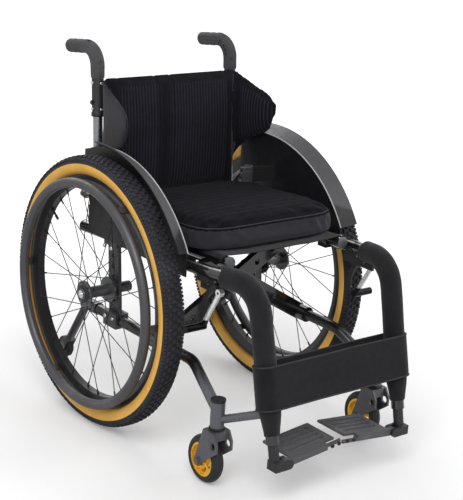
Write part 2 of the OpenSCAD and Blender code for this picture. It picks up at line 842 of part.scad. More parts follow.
// One spoke, run past both ends so that the hub and the rim trim it
module spoke(flange, slant, i) {
    turn = (i + slant / 4 + flange / 8) * 360 / spoke_sets;
    far_turn = turn + slant * spoke_cross_turn;
    flange_mid = hub_half - flange_t / 2;
    near_end = [flange_r * cos(turn), flange_r * sin(turn), flange * flange_mid + slant * spoke_side];
    far_end = [rim_r * cos(far_turn), rim_r * sin(far_turn), flange * spoke_rim_out + slant * spoke_side];
    past = unit(far_end - near_end) * overrun;
    rod(near_end - past, far_end + past, spoke_d / 2);
}

module handrim() color(gunmetal) on_axle() {
    translate([0, 0, handrim_out])
        rotate_extrude($fn = wheel_fn) translate([handrim_r, 0]) circle(d = handrim_d);
    for (i = [0 : handrim_tabs - 1]) rotate((i + tab_turn_share) * 360 / handrim_tabs)
        block([bead_r - rim_flank + tab_inset, -tab_w / 2, rim_w / 2],
              [bead_r - rim_flank + tab_inset + tab_t, tab_w / 2, handrim_out - tab_t]);
}

module axle() color(steel) difference() {
    union() {
        x_rod(axle_tail_x, axle_out, 0, wheel_r, axle_r);
        x_rod(axle_out, axle_out + axle_head_t, 0, wheel_r, axle_head_d / 2);
    }
    x_rod(axle_out - button_depth, axle_out + axle_head_t + overrun, 0, wheel_r, button_d / 2 + run_clear);
}

module axle_button() color(steel)
    x_rod(axle_out - button_depth + button_travel + pass_clear, axle_out + axle_head_t + button_proud,
        0, wheel_r, button_d / 2);

// Casters

module caster_fork() color(gloss_black) {
    difference() {
        for (face = [-1, 1]) {
            inner = head_x + face * fork_gap / 2;
            side_plate(min(inner, inner + face * blade_t), max(inner, inner + face * blade_t)) blade();
        }
        x_rod(0, track, caster_pos.y, caster_pos.z, caster_axle_d / 2);
    }
    block(
        [head_x - fork_out, -caster_reach - crown_d / 2, fork_top - fork_crown_t],
        [head_x + fork_out, -caster_reach + crown_d / 2, fork_top]
    );
    translate([head_x, -caster_reach, fork_top]) cylinder(d = stem_d, h = stem_top - fork_top);
    x_rod(head_x - fork_out, head_x + fork_out, caster_pos.y, caster_pos.z, caster_axle_d / 2);
    for (face = [-1, 1])
        x_rod(head_x + face * fork_out, head_x + face * (fork_out + fork_bolt_t),
            caster_pos.y, caster_pos.z, fork_bolt_d / 2);
}

// Outline of a fork blade, in Y and Z
module blade() difference() {
    union() {
        polygon([
            [-caster_reach - crown_d / 2, fork_top],
            [-caster_reach - crown_d * blade_brow_share, fork_top - fork_crown_t],
            [-caster_reach - crown_d * blade_brow_share, fork_top - 2 * fork_crown_t],
            [caster_pos.y - blade_w / 2, caster_pos.z],
            [caster_pos.y + blade_w / 2, caster_pos.z],
            [-caster_reach + crown_d / 2, fork_top]
        ]);
        translate([caster_pos.y, caster_pos.z]) circle(d = blade_w);
    }
    translate([-caster_reach - crown_d / 2, fork_top - fork_crown_t * blade_hole_share])
        circle(d = blade_hole_d);
}

module caster_wheel() color(gold) translate(caster_pos) rotate([0, 90, 0]) difference() {
    rotate_extrude() {
        hub_half_w = fork_gap / 2 - pass_clear;
        translate([caster_axle_d / 2 + run_clear, -hub_half_w])
            square([(caster_hub_d - caster_axle_d) / 2 - run_clear, 2 * hub_half_w]);
        translate([caster_hub_d / 2 - caster_rim_wall / 2, -caster_web_t / 2])
            square([caster_rim_r - caster_hub_d / 2, caster_web_t]);
        translate([caster_rim_r - caster_rim_wall - rim_seat_clear, -caster_rim_w / 2])
            square([caster_rim_wall, caster_rim_w]);
    }
    for (i = [0 : caster_windows - 1]) rotate(i * 360 / caster_windows)
        translate([(caster_rim_r + caster_hub_d / 2 - caster_rim_wall) / 2, 0, 0])
            cylinder(d = (caster_rim_r - caster_rim_wall - caster_hub_d / 2) * caster_window_share,
                h = caster_w, center = true);
}

module caster_tyre() color(soft_black) translate(caster_pos) rotate([0, 90, 0])
    rotate_extrude($fn = wheel_fn) difference() {
        translate([caster_r - caster_w / 2, 0]) circle(d = caster_w);
        translate([0, -caster_w]) square([caster_rim_r, 2 * caster_w]);
    }

// Legs and feet

module leg_pad() color(soft_black) difference() {
    bent_rod(pad_path, pad_d / 2, bend_r);
    bent_rod(leg_path, rail_r + soft_clear, bend_r);
    rod(stay_start, stay_end, stay_d / 2 + soft_clear);
}

module foot_hanger() color(gloss_black) {
    foot = leg_at(foot_h);
    rod(leg_at(leg_end_h) - leg_dir * (hanger_in - pass_clear), foot, hanger_r);
    block(
        [foot.x - hanger_r, foot_hinge.y - foot_ear_y - foot_ear_t, foot_h - foot_ear_d / 2],
        [foot.x + hanger_r, foot.y + hanger_r, foot_h + foot_ear_d / 2]
    );
    for (face = [-1, 1]) {
        low = foot_hinge.y + (face < 0 ? -foot_ear_y - foot_ear_t : foot_ear_y);
        y_rod(foot_hinge.x, low, low + foot_ear_t, foot_h, foot_ear_d / 2);
        block(
            [foot_hinge.x, low, foot_h - foot_ear_d / 2],
            [foot.x, low + foot_ear_t, foot_h + foot_ear_d / 2]
        );
    }
    y_rod(foot_hinge.x, foot_hinge.y - foot_ear_y, foot_hinge.y + foot_ear_y, foot_h, foot_pin_d / 2);
}

// A footplate half; the two centre lugs lie in front of and behind each other
module footplate(lug_low) color(gunmetal) translate(foot_hinge) rotate([0, foot_slope, 0]) difference() {
    union() {
        y_rod(0, -foot_bar / 2, foot_bar / 2, 0, knuckle_d / 2);
        block([foot_lug_end - foot_hinge.x, -foot_bar / 2, -foot_bar / 2], [0, foot_bar / 2, foot_bar / 2]);
        block(
            [-foot_hinge.x - foot_lug_over, lug_low, -foot_bar / 2],
            [foot_lug_end - foot_hinge.x, lug_low + foot_lug_t, 0]
        );
        block(
            [foot_gap - foot_hinge.x, foot_bar / 2, foot_bar / 2 - foot_t],
            [-foot_margin, foot_bar / 2 + foot_l, foot_bar / 2]
        );
    }
    y_rod(0, -foot_bar, foot_bar, 0, foot_pin_d / 2 + run_clear);
    for (i = [1 : foot_slots]) foot_slot(foot_bar / 2 + i * foot_l / (foot_slots + 1));
}

// A slot with round ends, across a footplate at the given depth
module foot_slot(y) {
    middle = (foot_gap - foot_hinge.x - foot_margin) / 2;
    half = (foot_hinge.x - foot_gap - foot_margin) * foot_slot_share / 2;
    block([middle - half, y - foot_slot_w / 2, -foot_bar], [middle + half, y + foot_slot_w / 2, foot_bar]);
    for (x = [middle - half, middle + half])
        translate([x, y, -foot_bar]) cylinder(d = foot_slot_w, h = 2 * foot_bar);
}

module calf_strap() color(soft_black) translate([0, axle_y, 0]) {
    low = leg_at(strap_low);
    strap_x = leg_x(strap_low + strap_w / 2);
    strap_in = pad_d / 2 + strap_gap;
    up = [0, sin(leg_slope), cos(leg_slope)];
    placed([0, low.y, low.z], [1, 0, 0], cross(up, [1, 0, 0]), up)
        linear_extrude(strap_w) difference() {
            strap_loop(strap_x, strap_in + strap_t);
            strap_loop(strap_x, strap_in);
        }
}

// Outline of a band round both legs
module strap_loop(x, r) {
    for (side = [-1, 1]) translate([side * x, 0]) circle(r = r);
    translate([-x, -r]) square([2 * x, 2 * r]);
}

// Brakes

module brake_bracket() color(gloss_black) difference() {
    union() {
        block(
            [brake_bracket_x, -taper_reach, rail_z(-taper_reach) - rail_r - brake_clamp_wall],
            [rail_x + rail_r, -taper_reach + brake_clamp_w, rail_z(-taper_reach) - rail_r / 2]
        );
        side_plate(brake_bracket_x, brake_bracket_x + brake_plate_t) brake_outline();
        x_rod(brake_bracket_x, brake_lever_x + brake_rod_d, brake_pivot_y, brake_pivot_z, brake_pin_d / 2);
        x_rod(brake_bracket_x, brake_arm_x + brake_arm_t, brake_link_y, brake_pivot_z, brake_pin_d / 2);
    }
    bent_rod(leg_path, rail_r + run_clear, bend_r);
}

// Outline of the brake's mounting plate, in Y and Z
module brake_outline() difference() {
    front = brake_pivot_y - brake_plate_h / 2;
    union() {
        translate([front, brake_pivot_z - brake_plate_h / 2])
            square([brake_clamp_w - taper_reach - front, brake_plate_h * brake_plate_share]);
        translate([-taper_reach, brake_pivot_z]) square([brake_clamp_w, brake_drop - rail_r]);
    }
    translate([brake_pivot_y + brake_pitch / 2, brake_pivot_z]) circle(d = brake_slot_d);
}

module brake_lever() color(steel) difference() {
    union() {
        x_rod(brake_lever_x, brake_lever_x + brake_rod_d, brake_pivot_y, brake_pivot_z, brake_eye_d / 2);
        rod([brake_x, brake_pivot_y, brake_pivot_z], [brake_x, shoe_y, shoe_z], brake_rod_d / 2);
        x_rod(brake_lever_x, brake_lever_x + shoe_len, shoe_y, shoe_z, shoe_d / 2);
    }
    x_rod(0, track, brake_pivot_y, brake_pivot_z, brake_pin_d / 2 + run_clear);
}

module brake_arm() color(gloss_black) difference() {
    top = [brake_link_y, brake_pivot_z];
    foot = [shoe_y + brake_arm_w, shoe_z + brake_arm_w];
    union() {
        translate([brake_arm_x, 0, 0]) rotate([90, 0, 90])
            arc_bar(top, foot, brake_arm_bow, brake_arm_w, brake_arm_t);
        for (p = [top, foot]) x_rod(brake_arm_x, brake_arm_x + brake_arm_t, p.x, p.y, brake_eye_d / 2);
    }
    x_rod(0, track, top.x, top.y, brake_pin_d / 2 + run_clear);
}

// Anti-tip wheels

module anti_tip_tube() color(gunmetal) difference() {
    union() {
        y_rod(lower_x, lower_back - tip_sleeve_len, lower_back + tip_sleeve_wall + tip_tube_d,
            lower_h, lower_r + tip_sleeve_wall);
        rod(tip_start, tip_end - tip_dir * tip_clear, tip_tube_d / 2);
        tip_fork();
        x_rod(lower_x - tip_pin_half, lower_x + tip_pin_half, tip_end.y, tip_end.z, tip_axle_d / 2);
    }
    y_rod(lower_x, 0, lower_back + pass_clear, lower_h, lower_r + run_clear);
}

// Yoke and two ears that carry the anti-tip wheel's axle
module tip_fork() placed(tip_end, [1, 0, 0], cross(tip_dir, [1, 0, 0]), tip_dir) difference() {
    block([-tip_half, -tip_tube_d / 2, -tip_clear - tip_fork_t], [tip_half, tip_tube_d / 2, tip_axle_d]);
    slot = tip_half - tip_fork_t;
    block([-slot, -tip_tube_d, -tip_clear], [slot, tip_tube_d, tip_tube_d]);
}

module anti_tip_wheel() color(soft_black) translate(tip_end) rotate([0, 90, 0]) rotate_extrude() polygon([
    [tip_axle_d / 2 + run_clear, -tip_wheel_w / 2], [tip_wheel_d / 2 - tip_round, -tip_wheel_w / 2],
    [tip_wheel_d / 2, tip_round - tip_wheel_w / 2], [tip_wheel_d / 2, tip_wheel_w / 2 - tip_round],
    [tip_wheel_d / 2 - tip_round, tip_wheel_w / 2], [tip_axle_d / 2 + run_clear, tip_wheel_w / 2]
]);

// Seat

// Follows the slope of the seat, with Z = 0 on the line of the seat tubes' tops
module on_seat() translate([0, axle_y, tube_z(0) + seat_tube_d / 2 / cos(seat_dump)])
    rotate([-seat_dump, 0, 0]) children();

module seat_sling() color(soft_black) on_seat() block(
    [-tube_x, -seat_tube_front + sling_inset, soft_clear],
    [tube_x, seat_tube_back - sling_inset, soft_clear + sling_t]
);

// Rings of the cushion, from its base to its crown: how far each lies inside the outline, and how high
function cushion_levels() = [
    [cushion_edge, 0], [cushion_edge / 3, cushion_h * 0.1], [0, cushion_h * 0.3], [0, cushion_h * 0.7],
    [cushion_edge / 3, cushion_h * 0.92], [cushion_edge, cushion_h],
    for (s = cushion_crown_shares) [cushion_edge + s * (cushion_w / 2 - 2 * cushion_edge),
        cushion_h + cushion_crown * (1 - (1 - s) * (1 - s))]
];

// One point of the cushion's outline: a squarish oval whose sides draw in between the corners
function cushion_point(i, inset) = let (
    a = i * 360 / cushion_rings,
    round = 1 / pow(pow(abs(cos(a)), cushion_corner_power) + pow(abs(sin(a)), cushion_corner_power),
        1 / cushion_corner_power),
    draw = cushion_draw * pow(cos(2 * a), 2) * (inset < cushion_edge ? 1 : 0)
) [(cushion_w / 2 - inset - draw) * cos(a) * round, (cushion_l / 2 - inset - draw) * sin(a) * round];

module seat_cushion() color(soft_black) on_seat() {
    levels = cushion_levels();
    n = cushion_rings;
    top = len(levels) - 1;
    points = [
        for (l = levels, i = [0 : n - 1]) let (p = cushion_point(i, l[0]))
            [p.x, p.y - cushion_front + cushion_l / 2, l[1] + 2 * soft_clear + sling_t]
    ];
    faces = concat(
        [[for (i = [0 : n - 1]) i]],
        [for (l = [0 : top - 1], i = [0 : n - 1])
            [l * n + i, (l + 1) * n + i, (l + 1) * n + (i + 1) % n]],
        [for (l = [0 : top - 1], i = [0 : n - 1])
            [l * n + i, (l + 1) * n + (i + 1) % n, l * n + (i + 1) % n]],
        [[for (i = [n - 1 : -1 : 0]) top * n + i]]
    );
    polyhedron(points, faces);
}

// Back upholstery

// Plan of the back at a distance along its curve from the middle: [x, y forward of the canes]
function back_plan(s) = let (
    over = max(0, abs(s) - back_mid_w / 2),
    turn = min(wing_turn, over / wing_bend_r * 180 / PI),
    run = max(0, over - wing_arc),
    x = min(abs(s), back_mid_w / 2) + wing_bend_r * sin(turn) + run * cos(wing_turn),
    y = wing_bend_r * (1 - cos(turn)) + run * sin(wing_turn)
) [sign(s) * x, y, sign(s) * turn];

// Height limits of the back at a distance along its curve
function wing_share(s) = max(0, abs(s) - back_mid_w / 2) / wing_len;
function wing_round(s) = let (t = clamp((wing_share(s) - 1) / wing_round_share + 1)) 1 - sqrt(1 - t * t);
function back_floor(s) = back_low + wing_rise * pow(wing_share(s), wing_rise_power)
    + wing_heel * wing_round(s);
function back_ceil(s) = back_high - wing_drop * wing_share(s) - wing_brow * wing_round(s);

// Distance along the curve of each column, counted from the middle: flat part, bend and wing
function back_col(k) = let (a = abs(k), past = a - back_mid_cols) sign(k) * (
    past <= 0 ? a / back_mid_cols * back_mid_w / 2
    : past <= back_bend_cols ? back_mid_w / 2 + past / back_bend_cols * wing_arc
    : back_mid_w / 2 + wing_arc + (past - back_bend_cols) / back_wing_cols * (wing_len - wing_arc)
);

// Thickness of the padding: full in the middle, less on the wings and thin at the hems
function back_swell(s, v) = back_hem + (back_t - back_hem) * (1 - wing_thin_share * wing_share(s))
    * sqrt(sin(180 * v)) * sqrt(1 - pow(wing_share(s), 6));

// How far the back's rear face lies in front of the canes' centre lines
function back_off(z) = (cane_d / 2
    + (handle_d - cane_d) / 2 * clamp((z - rail_h - handle_low) / back_ease + 2)
    + (grip_d - handle_d) / 2 * clamp((z - rail_h - grip_low) / back_ease + 2)) / cos(recline) + soft_clear;

module back_upholstery() color(soft_black) translate([0, axle_y, 0]) {
    side_cols = back_mid_cols + back_bend_cols + back_wing_cols;
    nu = 2 * side_cols;
    nv = back_rows;
    grid = [for (face = [0, 1], j = [0 : nv], i = [0 : nu]) let (
        v = j / nv,
        s = back_col(i - side_cols),
        plan = back_plan(s),
        up = back_floor(s) + v * (back_ceil(s) - back_floor(s)),
        t = face * back_swell(s, v),
        z = rail_h + up,
        y = cane_y(z) - back_off(z)
    ) [plan.x - t * sin(plan.z), y - plan.y - t * cos(plan.z), z]];
    w = nu + 1;
    m = w * (nv + 1);
    quads = concat(
        [for (j = [0 : nv - 1], i = [0 : nu - 1])
            [j * w + i, j * w + i + 1, (j + 1) * w + i + 1, (j + 1) * w + i]],
        [for (j = [0 : nv - 1], i = [0 : nu - 1])
            [m + j * w + i, m + (j + 1) * w + i, m + (j + 1) * w + i + 1, m + j * w + i + 1]],
        [for (i = [0 : nu - 1]) [i, m + i, m + i + 1, i + 1]],
        [for (i = [0 : nu - 1]) [nv * w + i, nv * w + i + 1, m + nv * w + i + 1, m + nv * w + i]],
        [for (j = [0 : nv - 1]) [j * w, (j + 1) * w, m + (j + 1) * w, m + j * w]],
        [for (j = [0 : nv - 1]) [j * w + nu, m + j * w + nu, m + (j + 1) * w + nu, (j + 1) * w + nu]]
    );
    polyhedron(grid, [for (q = quads, k = [0, 1]) k == 0 ? [q[0], q[1], q[2]] : [q[0], q[2], q[3]]]);
}

module lap_belt() color(soft_black) translate([0, axle_y, 0]) {
    along = unit(belt_end - belt_start);
    side = unit(cross(along, [0, 0, 1]));
    reach = norm(belt_end - belt_start);
    placed(belt_start, along, cross(cross(along, side), along), cross(along, side)) {
        block([0, 0, -belt_w / 2], [reach, belt_t, belt_w / 2]);
        block([reach, 0, -buckle_w / 2], [reach + buckle_l, buckle_t, buckle_w / 2]);
    }
}

on_side("left") cross_arm(cross_y - (arm_t + arm_gap) / 2);  // cross_arm_a
on_side("right") cross_arm(cross_y + (arm_t + arm_gap) / 2);  // cross_arm_b
translate([0, axle_y, 0]) cross_pivot();
seat_sling();
seat_cushion();
back_upholstery();
calf_strap();
lap_belt();
for (s = ["left", "right"]) on_side(s) {
    side_tube();
    lower_rail();
    axle_plate();
    cane();
    push_handle();
    hand_grip();
    side_guard();
    leg_pad();
    foot_hanger();
    footplate(s == "left" ? -foot_bar / 2 : foot_bar / 2 - foot_lug_t - foot_lug_gap);
    brake_bracket();
    brake_lever();
    brake_arm();
    anti_tip_tube();
    anti_tip_wheel();
    axle();
    axle_button();
    hub();
    spokes();
    rim();
    tyre();
    handrim();
    caster_fork();
    caster_wheel();
    caster_tyre();
    frame_bolts();
}
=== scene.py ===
import math

import bmesh
import bpy
import numpy as np
from mathutils import Matrix, Vector, noise
from mathutils.bvhtree import BVHTree


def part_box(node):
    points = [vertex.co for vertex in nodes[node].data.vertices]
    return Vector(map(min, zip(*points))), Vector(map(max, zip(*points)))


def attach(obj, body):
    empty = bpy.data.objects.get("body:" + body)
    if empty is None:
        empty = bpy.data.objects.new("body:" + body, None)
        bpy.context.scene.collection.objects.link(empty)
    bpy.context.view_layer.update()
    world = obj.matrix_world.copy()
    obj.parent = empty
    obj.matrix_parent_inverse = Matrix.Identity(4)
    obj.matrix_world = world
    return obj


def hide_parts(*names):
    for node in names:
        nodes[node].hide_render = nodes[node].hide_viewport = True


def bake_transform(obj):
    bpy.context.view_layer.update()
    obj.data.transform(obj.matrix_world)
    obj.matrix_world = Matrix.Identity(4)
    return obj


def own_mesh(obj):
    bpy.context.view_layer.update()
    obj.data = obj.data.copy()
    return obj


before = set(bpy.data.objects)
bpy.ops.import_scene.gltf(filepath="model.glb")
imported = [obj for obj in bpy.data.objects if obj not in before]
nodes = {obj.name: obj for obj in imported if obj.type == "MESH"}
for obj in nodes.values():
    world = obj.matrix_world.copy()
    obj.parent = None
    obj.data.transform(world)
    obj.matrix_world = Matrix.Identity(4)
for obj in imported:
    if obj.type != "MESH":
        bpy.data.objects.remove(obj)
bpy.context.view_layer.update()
scene = bpy.context.scene

MM = 0.001
# Sizes of the solids, in millimetres, with the origin on the floor under the rear axle
AXLE_Y = 131.12448520945
WHEEL_R, TRACK_HALF = 305.0, 253.0
DUMP, RECLINE, LEG_SLOPE = math.radians(3), math.radians(4), math.radians(13)
RAIL_X, RAIL_H, RAIL_R = 200.0, 422.0, 14.0
TUBE_X, TUBE_RISE, TUBE_R = 157.0, 16.0, 12.5
CANE_X, CANE_Y = 187.0, 101
KNEE_X, KNEE_Y, LEG_IN, LEG_END = 182, -468, 6, 134
GUARD_R, GUARD_EDGE_X = 318.6, 213.4
SIDES = (("left", 1), ("right", -1))


def at(x, y, z):
    """A point of the chair's own millimetres in the row frame."""
    return Vector((x, y + AXLE_Y, z)) * MM


def rail_z(y):
    return RAIL_H - y * math.tan(DUMP)


def tube_z(y):
    return rail_z(y) + TUBE_RISE


def cane_y(z):
    return CANE_Y + (z - RAIL_H) * math.tan(RECLINE)


def leg_y(z):
    return KNEE_Y - (rail_z(KNEE_Y) - z) * math.tan(LEG_SLOPE)


def leg_x(z):
    return KNEE_X - LEG_IN * (rail_z(KNEE_Y) - z) / (rail_z(KNEE_Y) - LEG_END)


def smooth_step(t):
    t = min(1.0, max(0.0, t))
    return t * t * (3 - 2 * t)


# Shapes


def basis(axis):
    """Two unit vectors square to an axis."""
    axis = Vector(axis).normalized()
    side = Vector((0, 0, 1)) if abs(axis.z) < 0.9 else Vector((1, 0, 0))
    u = axis.cross(side).normalized()
    return u, axis.cross(u).normalized()


def shade(mesh, sharp):
    mesh.shade_smooth()
    if sharp < 180:
        mesh.set_sharp_from_angle(angle=math.radians(sharp))


class Shape:
    """Points and faces that are gathered into one mesh."""

    def __init__(self):
        self.points, self.faces, self.slots = [], [], []

    def add(self, points, faces, slot=0):
        base = len(self.points)
        self.points += [Vector(p) for p in points]
        self.faces += [[base + i for i in f] for f in faces]
        self.slots += [slot] * len(faces)

    def lathe(self, centre, axis, profile, sides=20, slot=0, closed=False):
        """Turns a profile of (radius, height) in millimetres about an axis; a closed one makes a ring."""
        axis = Vector(axis).normalized()
        u, v = basis(axis)
        n, points, faces = len(profile), [], []
        for k in range(sides):
            a = 2 * math.pi * k / sides
            out = u * math.cos(a) + v * math.sin(a)
            points += [centre + (out * r + axis * h) * MM for r, h in profile]
        last = n if closed else n - 1
        for k in range(sides):
            p, q = k * n, (k + 1) % sides * n
            faces += [[p + i, p + (i + 1) % n, q + (i + 1) % n, q + i] for i in range(last)]
        if not closed:
            faces.append([k * n for k in range(sides)])
            faces.append([k * n + n - 1 for k in reversed(range(sides))])
        self.add(points, faces, slot)

    def tube(self, path, radius, sides=10, slot=0, closed=False, flat=1.0, up=None):
        """Runs a round bar along points; flat makes it thinner along up."""
        path = [Vector(p) for p in path]
        n, rings, u = len(path), [], None
        for i, p in enumerate(path):
            a = path[i - 1] if i or closed else p
            b = path[(i + 1) % n] if i < n - 1 or closed else p
            along = (b - a).normalized()
            if up is not None:
                u = (Vector(up) - along * along.dot(Vector(up))).normalized()
            elif u is None:
                u = basis(along)[0]
            else:
                u = (u - along * u.dot(along)).normalized()
            v = along.cross(u)
            r = (radius(i / (n - 1)) if callable(radius) else radius) * MM
            rings.append([p + u * r * flat * math.cos(2 * math.pi * k / sides)
                          + v * r * math.sin(2 * math.pi * k / sides) for k in range(sides)])
        faces = []
        for i in range(n if closed else n - 1):
            p, q = i * sides, (i + 1) % n * sides
            faces += [[p + k, p + (k + 1) % sides, q + (k + 1) % sides, q + k] for k in range(sides)]
        if not closed:
            faces.append(list(range(sides)))
            faces.append(list(reversed(range((n - 1) * sides, n * sides))))
        self.add([p for ring in rings for p in ring], faces, slot)

    def box(self, centre, axes, size, slot=0, edge=1.0, top=1.0):
        """A box with chamfered edges; top is the share of its width left at the third axis's far end."""
        axes = [Vector(a).normalized() for a in axes]
        half = [s / 2 for s in size]
        edge = min(edge, *[h * 0.45 for h in half])
        points = []
        for sz in (-1, 1):
            for inset_z, inset in ((0, edge), (edge, 0)) if sz < 0 else ((edge, 0), (0, edge)):
                h = sz * (half[2] - inset_z)
                k = 1 + (top - 1) * (h / half[2] + 1) / 2
                for sx, sy in ((-1, -1), (1, -1), (1, 1), (-1, 1)):
                    for dx, dy in ((edge, 0), (0, edge)) if sx * sy < 0 else ((0, edge), (edge, 0)):
                        x = sx * (half[0] - inset - dx) * k
                        y = sy * (half[1] - inset - dy) * k
                        points.append(centre + (axes[0] * x + axes[1] * y + axes[2] * h) * MM)
        faces = []
        for ring in range(3):
            p, q = ring * 8, ring * 8 + 8
            faces += [[p + i, p + (i + 1) % 8, q + (i + 1) % 8, q + i] for i in range(8)]
        faces += [list(reversed(range(8))), list(range(24, 32))]
        self.add(points, faces, slot)

    def bolt(self, head_at, axis, r=5.0, h=4.0, slot=0):
        """A socket-head bolt that lies on a face."""
        profile = [(r, -0.5), (r, h * 0.72), (r * 0.84, h), (r * 0.52, h), (r * 0.46, h * 0.92),
                   (r * 0.44, h * 0.35), (r * 0.05, h * 0.3)]
        self.lathe(head_at, axis, profile, 18, slot)

    def dome(self, foot, axis, r, h, slot=0, sides=18):
        steps = 6
        self.lathe(foot, axis, [(r, -0.5)] + [(r * math.cos(k * math.pi / 2 / steps),
                   h * math.sin(k * math.pi / 2 / steps)) for k in range(steps)]
                   + [(r * 0.03, h)], sides, slot)

    def make(self, name, *materials, sharp=35, mirror=1):
        points = self.points if mirror > 0 else [Vector((-p.x, p.y, p.z)) for p in self.points]
        mesh = bpy.data.meshes.new(name)
        mesh.from_pydata(points, [], self.faces)
        for m in materials:
            mesh.materials.append(m)
        mesh.polygons.foreach_set("material_index", self.slots)
        bm = bmesh.new()
        bm.from_mesh(mesh)
        bmesh.ops.recalc_face_normals(bm, faces=bm.faces)
        bm.to_mesh(mesh)
        bm.free()
        shade(mesh, sharp)
        return linked(name, mesh)


def linked(name, mesh):
    obj = bpy.data.objects.new(name, mesh)
    scene.collection.objects.link(obj)
    return obj


def points_of(mesh):
    co = np.zeros(len(mesh.vertices) * 3, np.float64)
    mesh.vertices.foreach_get("co", co)
    return co.reshape(-1, 3)


def set_points(mesh, co):
    mesh.vertices.foreach_set("co", np.asarray(co, np.float64).ravel())
    mesh.update()


def normals_of(mesh):
    no = np.zeros(len(mesh.vertices) * 3, np.float32)
    mesh.vertex_normals.foreach_get("vector", no)
    return no.reshape(-1, 3).astype(float)


def settled(obj):
    """Gives the object the mesh that its modifiers make, and removes them."""
    bpy.context.view_layer.update()
    made = bpy.data.meshes.new_from_object(obj.evaluated_get(bpy.context.evaluated_depsgraph_get()))
    old = obj.data
    obj.modifiers.clear()
    obj.data = made
    bpy.data.meshes.remove(old)
    return obj


def remeshed(name, node, voxel):
    """A new object with a solid's shape in an even, closed mesh."""
    mesh = nodes[node].data.copy()
    mesh.materials.clear()
    bm = bmesh.new()
    bm.from_mesh(mesh)
    bmesh.ops.remove_doubles(bm, verts=bm.verts, dist=1e-5)
    bm.to_mesh(mesh)
    bm.free()
    obj = linked(name, mesh)
    mod = obj.modifiers.new("even", "REMESH")
    mod.mode, mod.voxel_size = "VOXEL", voxel * MM
    return settled(obj)


def inset(obj, depth):
    """Draws a closed mesh in along its normals, in millimetres."""
    set_points(obj.data, points_of(obj.data) - normals_of(obj.data) * depth * MM)


def eased(obj, rounds, factor=0.5):
    mod = obj.modifiers.new("ease", "SMOOTH")
    mod.iterations, mod.factor = rounds, factor
    return settled(obj)


def finer(obj, levels=1):
    mod = obj.modifiers.new("finer", "SUBSURF")
    mod.levels = mod.render_levels = levels
    return settled(obj)


def puffed(obj, pressure, cap, pinned=None, frames=20):
    """Swells a closed mesh as cloth under pressure; no point moves further than cap millimetres."""
    rest = points_of(obj.data)
    mod = obj.modifiers.new("Cloth", "CLOTH")
    st = mod.settings
    st.quality, st.mass = 5, 0.3
    st.tension_stiffness = st.compression_stiffness = 15
    st.shear_stiffness, st.bending_stiffness = 5, 0.5
    st.use_pressure, st.uniform_pressure_force = True, pressure
    st.effector_weights.gravity = 0
    if pinned is not None:
        group = obj.vertex_groups.new(name="pin")
        group.add([int(i) for i in np.nonzero(pinned)[0]], 1.0, "REPLACE")
        st.vertex_group_mass = "pin"
    mod.point_cache.frame_start, mod.point_cache.frame_end = 1, frames
    for k in range(1, frames + 1):
        scene.frame_set(k)
    seen = obj.evaluated_get(bpy.context.evaluated_depsgraph_get()).to_mesh()
    step = points_of(seen) - rest
    obj.evaluated_get(bpy.context.evaluated_depsgraph_get()).to_mesh_clear()
    far = np.linalg.norm(step, axis=1)
    step *= np.minimum(1, cap * MM / np.maximum(far, 1e-9))[:, None]
    obj.modifiers.clear()
    obj.vertex_groups.clear()
    scene.frame_set(1)
    set_points(obj.data, rest + step)
    return obj


def attribute(obj, name, values):
    layer = obj.data.attributes.new(name, "FLOAT", "POINT")
    layer.data.foreach_set("value", np.asarray(values, np.float32))


# Materials


